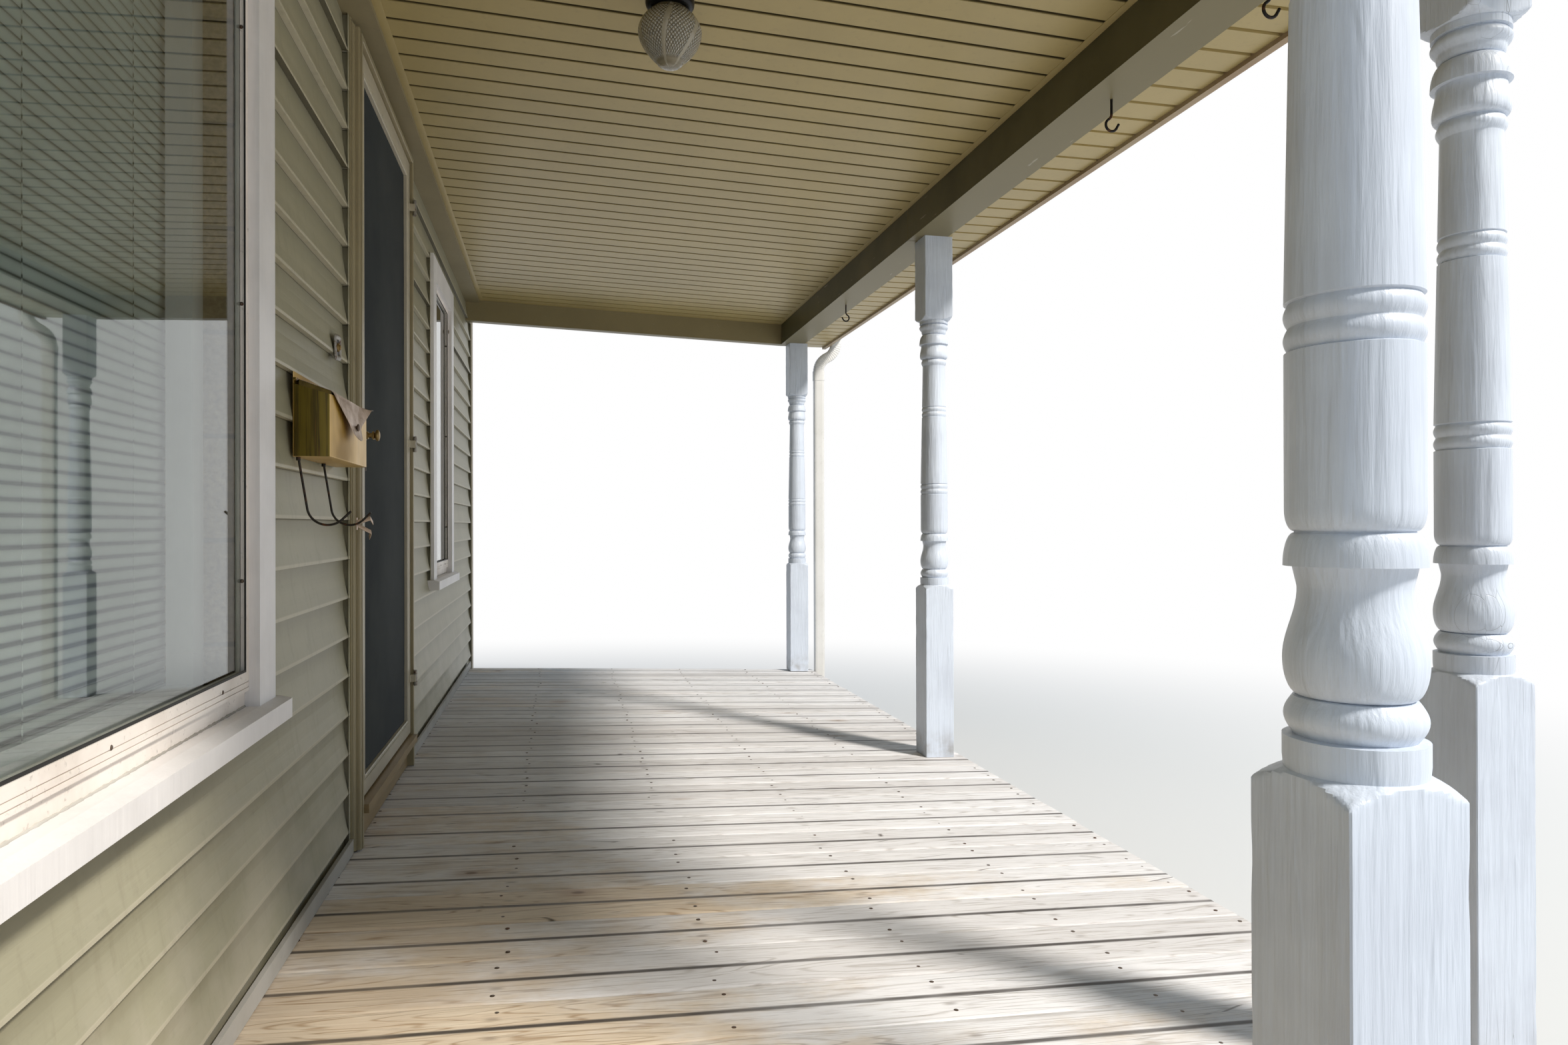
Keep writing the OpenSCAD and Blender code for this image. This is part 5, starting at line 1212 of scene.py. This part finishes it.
# doorbell: dark square frame with a brass button
bell = {"x": -0.820, "z": 1.751, "face": 0.0173, "half": 0.035, "ring": 0.0075, "deep": 0.007, "lean": 0.10}


def makeDoorbell(v):
    # frame: a ring whose centre line is a superellipse of power 8, its section a rounded bar;
    # the whole leans a little sideways, as the real one hangs
    angle = around(72)[:, None]
    square = 1 / (np.abs(np.cos(angle)) ** 8 + np.abs(np.sin(angle)) ** 8) ** 0.125
    turn = around(12)[None]
    radius = (v["half"] - v["ring"] + v["ring"] * 0.95 * np.cos(turn)) * square * 0.93
    lift = v["deep"] / 2 + v["deep"] / 2 * np.sin(turn)
    across, rise = radius * np.cos(angle), radius * np.sin(angle)
    c, s = math.cos(v["lean"]), math.sin(v["lean"])
    grid = place(v["x"] + across * c - rise * s, v["face"] + lift, v["z"] + across * s + rise * c)
    gridPiece("doorbell_frame", grid, mats["hingeSteel"], loop=True, slotName="doorbell",
              replaced=("doorbell_plate",), smooth=50)
    sides = [[(v["x"] + k * v["half"] * 0.8, wallY - v["face"] - 0.0015, v["z"])] for k in (-1, 1)]
    plate = barGrid(*sides, (0, 0, 1), 0.052, 0.003)
    gridPiece("doorbell_back", plate, mats["darkMetal"], slotName="doorbell")
    outline = [(-0.0005, 0.011), (0.006, 0.011), (0.008, 0.0095), (0.0085, 0.007), (0.0105, 0.0065),
               (0.0118, 0.004), (0.012, 0.0005)]
    button = turnGrid((v["x"], wallY - v["face"], v["z"]), (0, -1, 0), outline, 28)
    gridPiece("doorbell_button", button, mats["wornBrass"], slotName="brass", smooth=50)


makeDoorbell(bell)
stageNote("door fittings")

# mailbox: open sheet box with a back plate, and a lid with side returns and a long front flap
mailbox = {"x": site["mailboxX"], "half": 0.1963, "low": site["mailboxLow"], "out0": 0.0182, "out1": 0.0883,
           "corner": 0.0022, "pinZ": site["lidPin"], "pinOut": 0.0210, "lap": 0.0012, "sheet": 0.0010,
           "backZ": 1.6068, "frontZ": 1.5880, "plateTop": 1.6325, "ear": 0.008}
lid = {"x": site["mailboxX"], "half": 0.1970, "inner": 0.1888, "pinOut": 0.0225, "pinZ": site["lidPin"],
       "barrel": 0.0032, "frontOut": 0.0917, "frontZ": 1.5925, "flap": 0.086, "flapHalf": 0.178,
       "taperEnd": 0.64, "tongue": 0.060, "round": 0.034, "sheet": 0.0009, "curl": 0.013, "curlFrom": 0.45,
       "curlRise": 0.003, "curlEnd": 0.55, "lean": 0.015, "tip": 0.006, "ripple": 0.0005, "knobR": 0.0085,
       "knobAt": 0.66, "fold": 0.012}


def makeMailbox(v):
    # rings of a rounded rectangle, (half width, half depth) given for each: under the floor, up the outer
    # wall to a rim that slopes with the distance from the back, down the inner wall and in over the floor
    half, deep = v["half"], (v["out1"] - v["out0"]) / 2
    middle = (v["out1"] + v["out0"]) / 2
    turn = np.radians(np.arange(0, 90.1, 22.5))
    quarter = np.array([(1, 1), (-1, 1), (-1, -1), (1, -1)])
    arc = np.stack([np.cos(turn), np.sin(turn)], 1)
    ring, t = v["corner"], v["sheet"]
    # share taken off the half sizes under the floor
    shrink = np.array([0.98, v["lap"] / deep, 0, 0, 0, 0, 0])
    inset = np.array([0, 0, 0, 0, t, t, t])
    points = []
    for k, (sx, sy) in enumerate(quarter):
        a = arc if k % 2 == 0 else arc[::-1]
        points.append(np.stack([sx * (half - ring + ring * a[:, 0]), sy * (deep - ring + ring * a[:, 1])], 1))
    section = np.concatenate(points)
    size = (1 - shrink)[:, None, None] * section[None] * (1 - inset[:, None, None] / np.array([half, deep]))
    size[-1] *= 0.02
    rim = v["backZ"] + (v["frontZ"] - v["backZ"]) * (section[:, 1] + deep) / (2 * deep)
    lows = [v["low"] + 0 * rim + a for a in (0, 0, v["lap"], t, t)]
    z = np.stack(lows[:3] + [rim, rim] + lows[3:])
    grid = place(v["x"] + size[..., 0], middle + size[..., 1], z)
    gridPiece("mailbox_box", grid, mats["mailboxBrass"], slotName="mailbox_paint", replaced=("mailbox_body",))
    y, wide, ear = wallY - v["out0"] + 0.0001, v["half"] + v["lap"], v["half"] + v["lap"] - v["ear"] / 2
    ends = [[(v["x"] + s * wide, y, (v["low"] + v["plateTop"]) / 2)] for s in (-1, 1)]
    plates = barGrid(*ends, (0, 0, 1), v["plateTop"] - v["low"], 0.0011)
    gridPiece("mailbox_back", plates, mats["mailboxBrass"], slotName="mailbox_paint")
    ears = [(v["x"] + s * ear - v["ear"] / 2, wallY - v["pinOut"], v["pinZ"]) for s in (-1, 1)]
    ears = barGrid(ears, [(a + v["ear"], b, c) for a, b, c in ears], (0, 0, 1), 0.005, 0.0062)
    gridPiece("mailbox_ears", ears, mats["mailboxBrass"], slotName="mailbox_paint")
    x, y, z = v["x"] + v["half"] - 0.010, wallY - v["out1"] + 0.0004, v["low"] + 0.001
    tab = barGrid([(x, y, z)], [(x + 0.001, y, z - 0.009)], (1, 0, 0), 0.008, 0.0022)
    gridPiece("mailbox_tab", tab, mats["rustIron"], slotName="mailbox_paint")


def makeLid(v):
    # rows run from the hinge down the slope, round the fold and down the flap; the half width follows a
    # straight taper and a round end; the flap leans away from the box, its far corner bends out with the
    # 1.5th power of the distance into it and the tongue's tip with the square
    slope = np.linspace(0, 1, 16)
    out = np.concatenate([v["pinOut"] + (v["frontOut"] - v["pinOut"]) * slope, np.full(44, v["frontOut"])])
    drop = np.concatenate([np.linspace(0.0008, v["flap"], 43), [v["flap"] + 0.0001]])
    z = np.concatenate([v["pinZ"] + 0.0014 + (v["frontZ"] - v["pinZ"]) * slope, v["frontZ"] - drop])
    share = drop / v["flap"]
    taper = v["flapHalf"] + (v["tongue"] - v["flapHalf"]) * np.clip(share / v["taperEnd"], 0, 1)
    rest = np.clip((drop - (v["flap"] - v["round"])) / v["round"], 0, 1)
    top = np.where(slope < 0.08, v["inner"], v["half"])
    half = np.concatenate([top, taper * np.sqrt(np.maximum(1 - rest ** 2, 0.0004))])
    u = np.linspace(-1, 1, 60)[None]
    far = np.clip((u - v["curlFrom"]) / (1 - v["curlFrom"]), 0, 1) ** 1.5
    onTop, onFlap = np.clip((slope - 0.7) / 0.3, 0, 1) ** 2, np.clip(1 - share / v["curlEnd"], 0, 1)
    reach = np.concatenate([onTop, onFlap])[:, None]
    tip = np.concatenate([0 * slope, v["lean"] * share + v["tip"] * rest ** 2])[:, None]
    ripple = v["ripple"] * np.sin(5 * u + 1) * reach
    front = place(v["x"] + half[:, None] * u, out[:, None] + v["curl"] * far * reach + tip + ripple,
                  z[:, None] + v["curlRise"] * far * reach)
    onLid = {"body": "mailbox_lid", "slotName": "mailbox_paint"}
    sheet = thickSheet(front, (0, v["sheet"], -v["sheet"]))
    gridPiece("mailbox_lid_sheet", sheet, mats["lidMetal"], replaced=("mailbox_lid",), **onLid)
    # side returns: two strips under the sheet's edges that get lower towards the front
    s = np.linspace(0.10, 0.99, 8)[:, None]
    edge = v["pinZ"] + 0.0008 + (v["frontZ"] - v["pinZ"]) * s
    high = v["fold"] * (1 - 0.35 * s)
    out = v["pinOut"] + (v["frontOut"] - v["pinOut"]) * s
    x = np.array([1, 1, 0, 0])[None] * 0.0006
    up = np.array([0, 1, 1, 0])[None]
    for end, k in (("near", -1), ("far", 1)):
        grid = place(v["x"] + k * (v["half"] - x), out, edge - high * up)
        gridPiece("mailbox_lid_return_" + end, grid, mats["lidSide"], **onLid)
    axisLow = (v["x"] - v["inner"], wallY - v["pinOut"], v["pinZ"])
    long = 2 * v["inner"]
    roll = [(0, 0.0020), (0.0006, v["barrel"]), (long - 0.0006, v["barrel"]), (long, 0.0020)]
    gridPiece("mailbox_lid_barrel", turnGrid(axisLow, (1, 0, 0), roll, 20), mats["lidMetal"], **onLid)
    k = v["knobR"]
    outline = [(-0.0004, 0.4 * k), (0.001, 0.5 * k), (0.0025, 0.55 * k), (0.003, 0.9 * k), (0.005, k),
               (0.0066, 0.85 * k), (0.0074, 0.4 * k), (0.0075, 0.05 * k)]
    spot = (v["x"], wallY - v["frontOut"] - v["knobAt"] * v["lean"], v["frontZ"] - v["flap"] * v["knobAt"])
    knob = turnGrid(spot, (0, -1, 0), outline, 24)
    gridPiece("mailbox_lid_knob", knob, mats["rustIron"], smooth=50, **onLid)


makeMailbox(mailbox)
makeLid(lid)

# rusty clip on the door moulding, where the hook of the mailbox ends
clip = {"x": -0.700, "z": 1.318, "face": 0.042}


def makeClip(v):
    # a small plate and three bent prongs, all flat bars
    y = wallY - v["face"]
    at = [(0.000, 0.000, -0.016, 0.000, 0.000, 0.016), (-0.004, -0.002, 0.004, 0.012, -0.030, 0.014),
          (0.012, -0.030, 0.014, 0.026, -0.034, 0.002), (-0.002, -0.002, -0.004, 0.014, -0.032, -0.022),
          (0.014, -0.032, -0.022, 0.020, -0.026, -0.036)]
    starts = [(v["x"] + a[0], y + a[1], v["z"] + a[2]) for a in at]
    ends = [(v["x"] + a[3], y + a[4], v["z"] + a[5]) for a in at]
    bars = barGrid(starts, ends, [(1, 0, 0)] + [(0.3, 0.2, 1)] * 4, 0.011, 0.0022)
    gridPiece("door_clip", bars, mats["lidMetal"], slotName="doorbell", smooth=30)


makeClip(clip)
stageNote("mailbox lid and clip")


# studio floor
def makeFloor(v):
    f = Finish("studioFloor")
    f.bump(f.noise(0.5, 2, 0.4), 0.02, 0.01)
    worn = tuple(c * 0.985 for c in v["floor"])
    mat = f.done(f.mix(f.step(f.noise(0.2, 2), 0.3, 0.7), v["floor"], worn), 0.9)
    # past the object's shadow the floor turns into the white backdrop for what the camera sees
    ray = f.add("ShaderNodeLightPath").outputs
    seen = f.most(f.most(ray["Is Camera Ray"], ray["Is Glossy Ray"]), ray["Is Transmission Ray"])
    far = f.add("ShaderNodeVectorMath", {"Vector": f.place}, operation="LENGTH").outputs["Value"]
    share = f.times(seen, f.step(far, *v["floorFade"]))
    glow = f.add("ShaderNodeEmission", {"Color": 1.0, "Strength": v["backdrop"]}).outputs[0]
    both = f.add("ShaderNodeMixShader", {0: share, 1: f.shader.outputs[0], 2: glow})
    f.tree.links.new(both.outputs[0], f.tree.nodes["Material Output"].inputs["Surface"])
    side = np.linspace(-40, 40, 9)
    x, y = np.meshgrid(side, side)
    mesh = bpy.data.meshes.new("studioFloor")
    index = np.arange(81).reshape(9, 9)
    faces = np.stack([index[:-1, :-1], index[:-1, 1:], index[1:, 1:], index[1:, :-1]], -1).reshape(-1, 4)
    mesh.from_pydata(np.stack([x, y, 0 * x], -1).reshape(-1, 3).tolist(), [], faces.tolist())
    mesh.materials.append(mat)
    obj = bpy.data.objects.new("studioFloor", mesh)
    bpy.context.scene.collection.objects.link(obj)


makeFloor(light)
stageNote("floor")
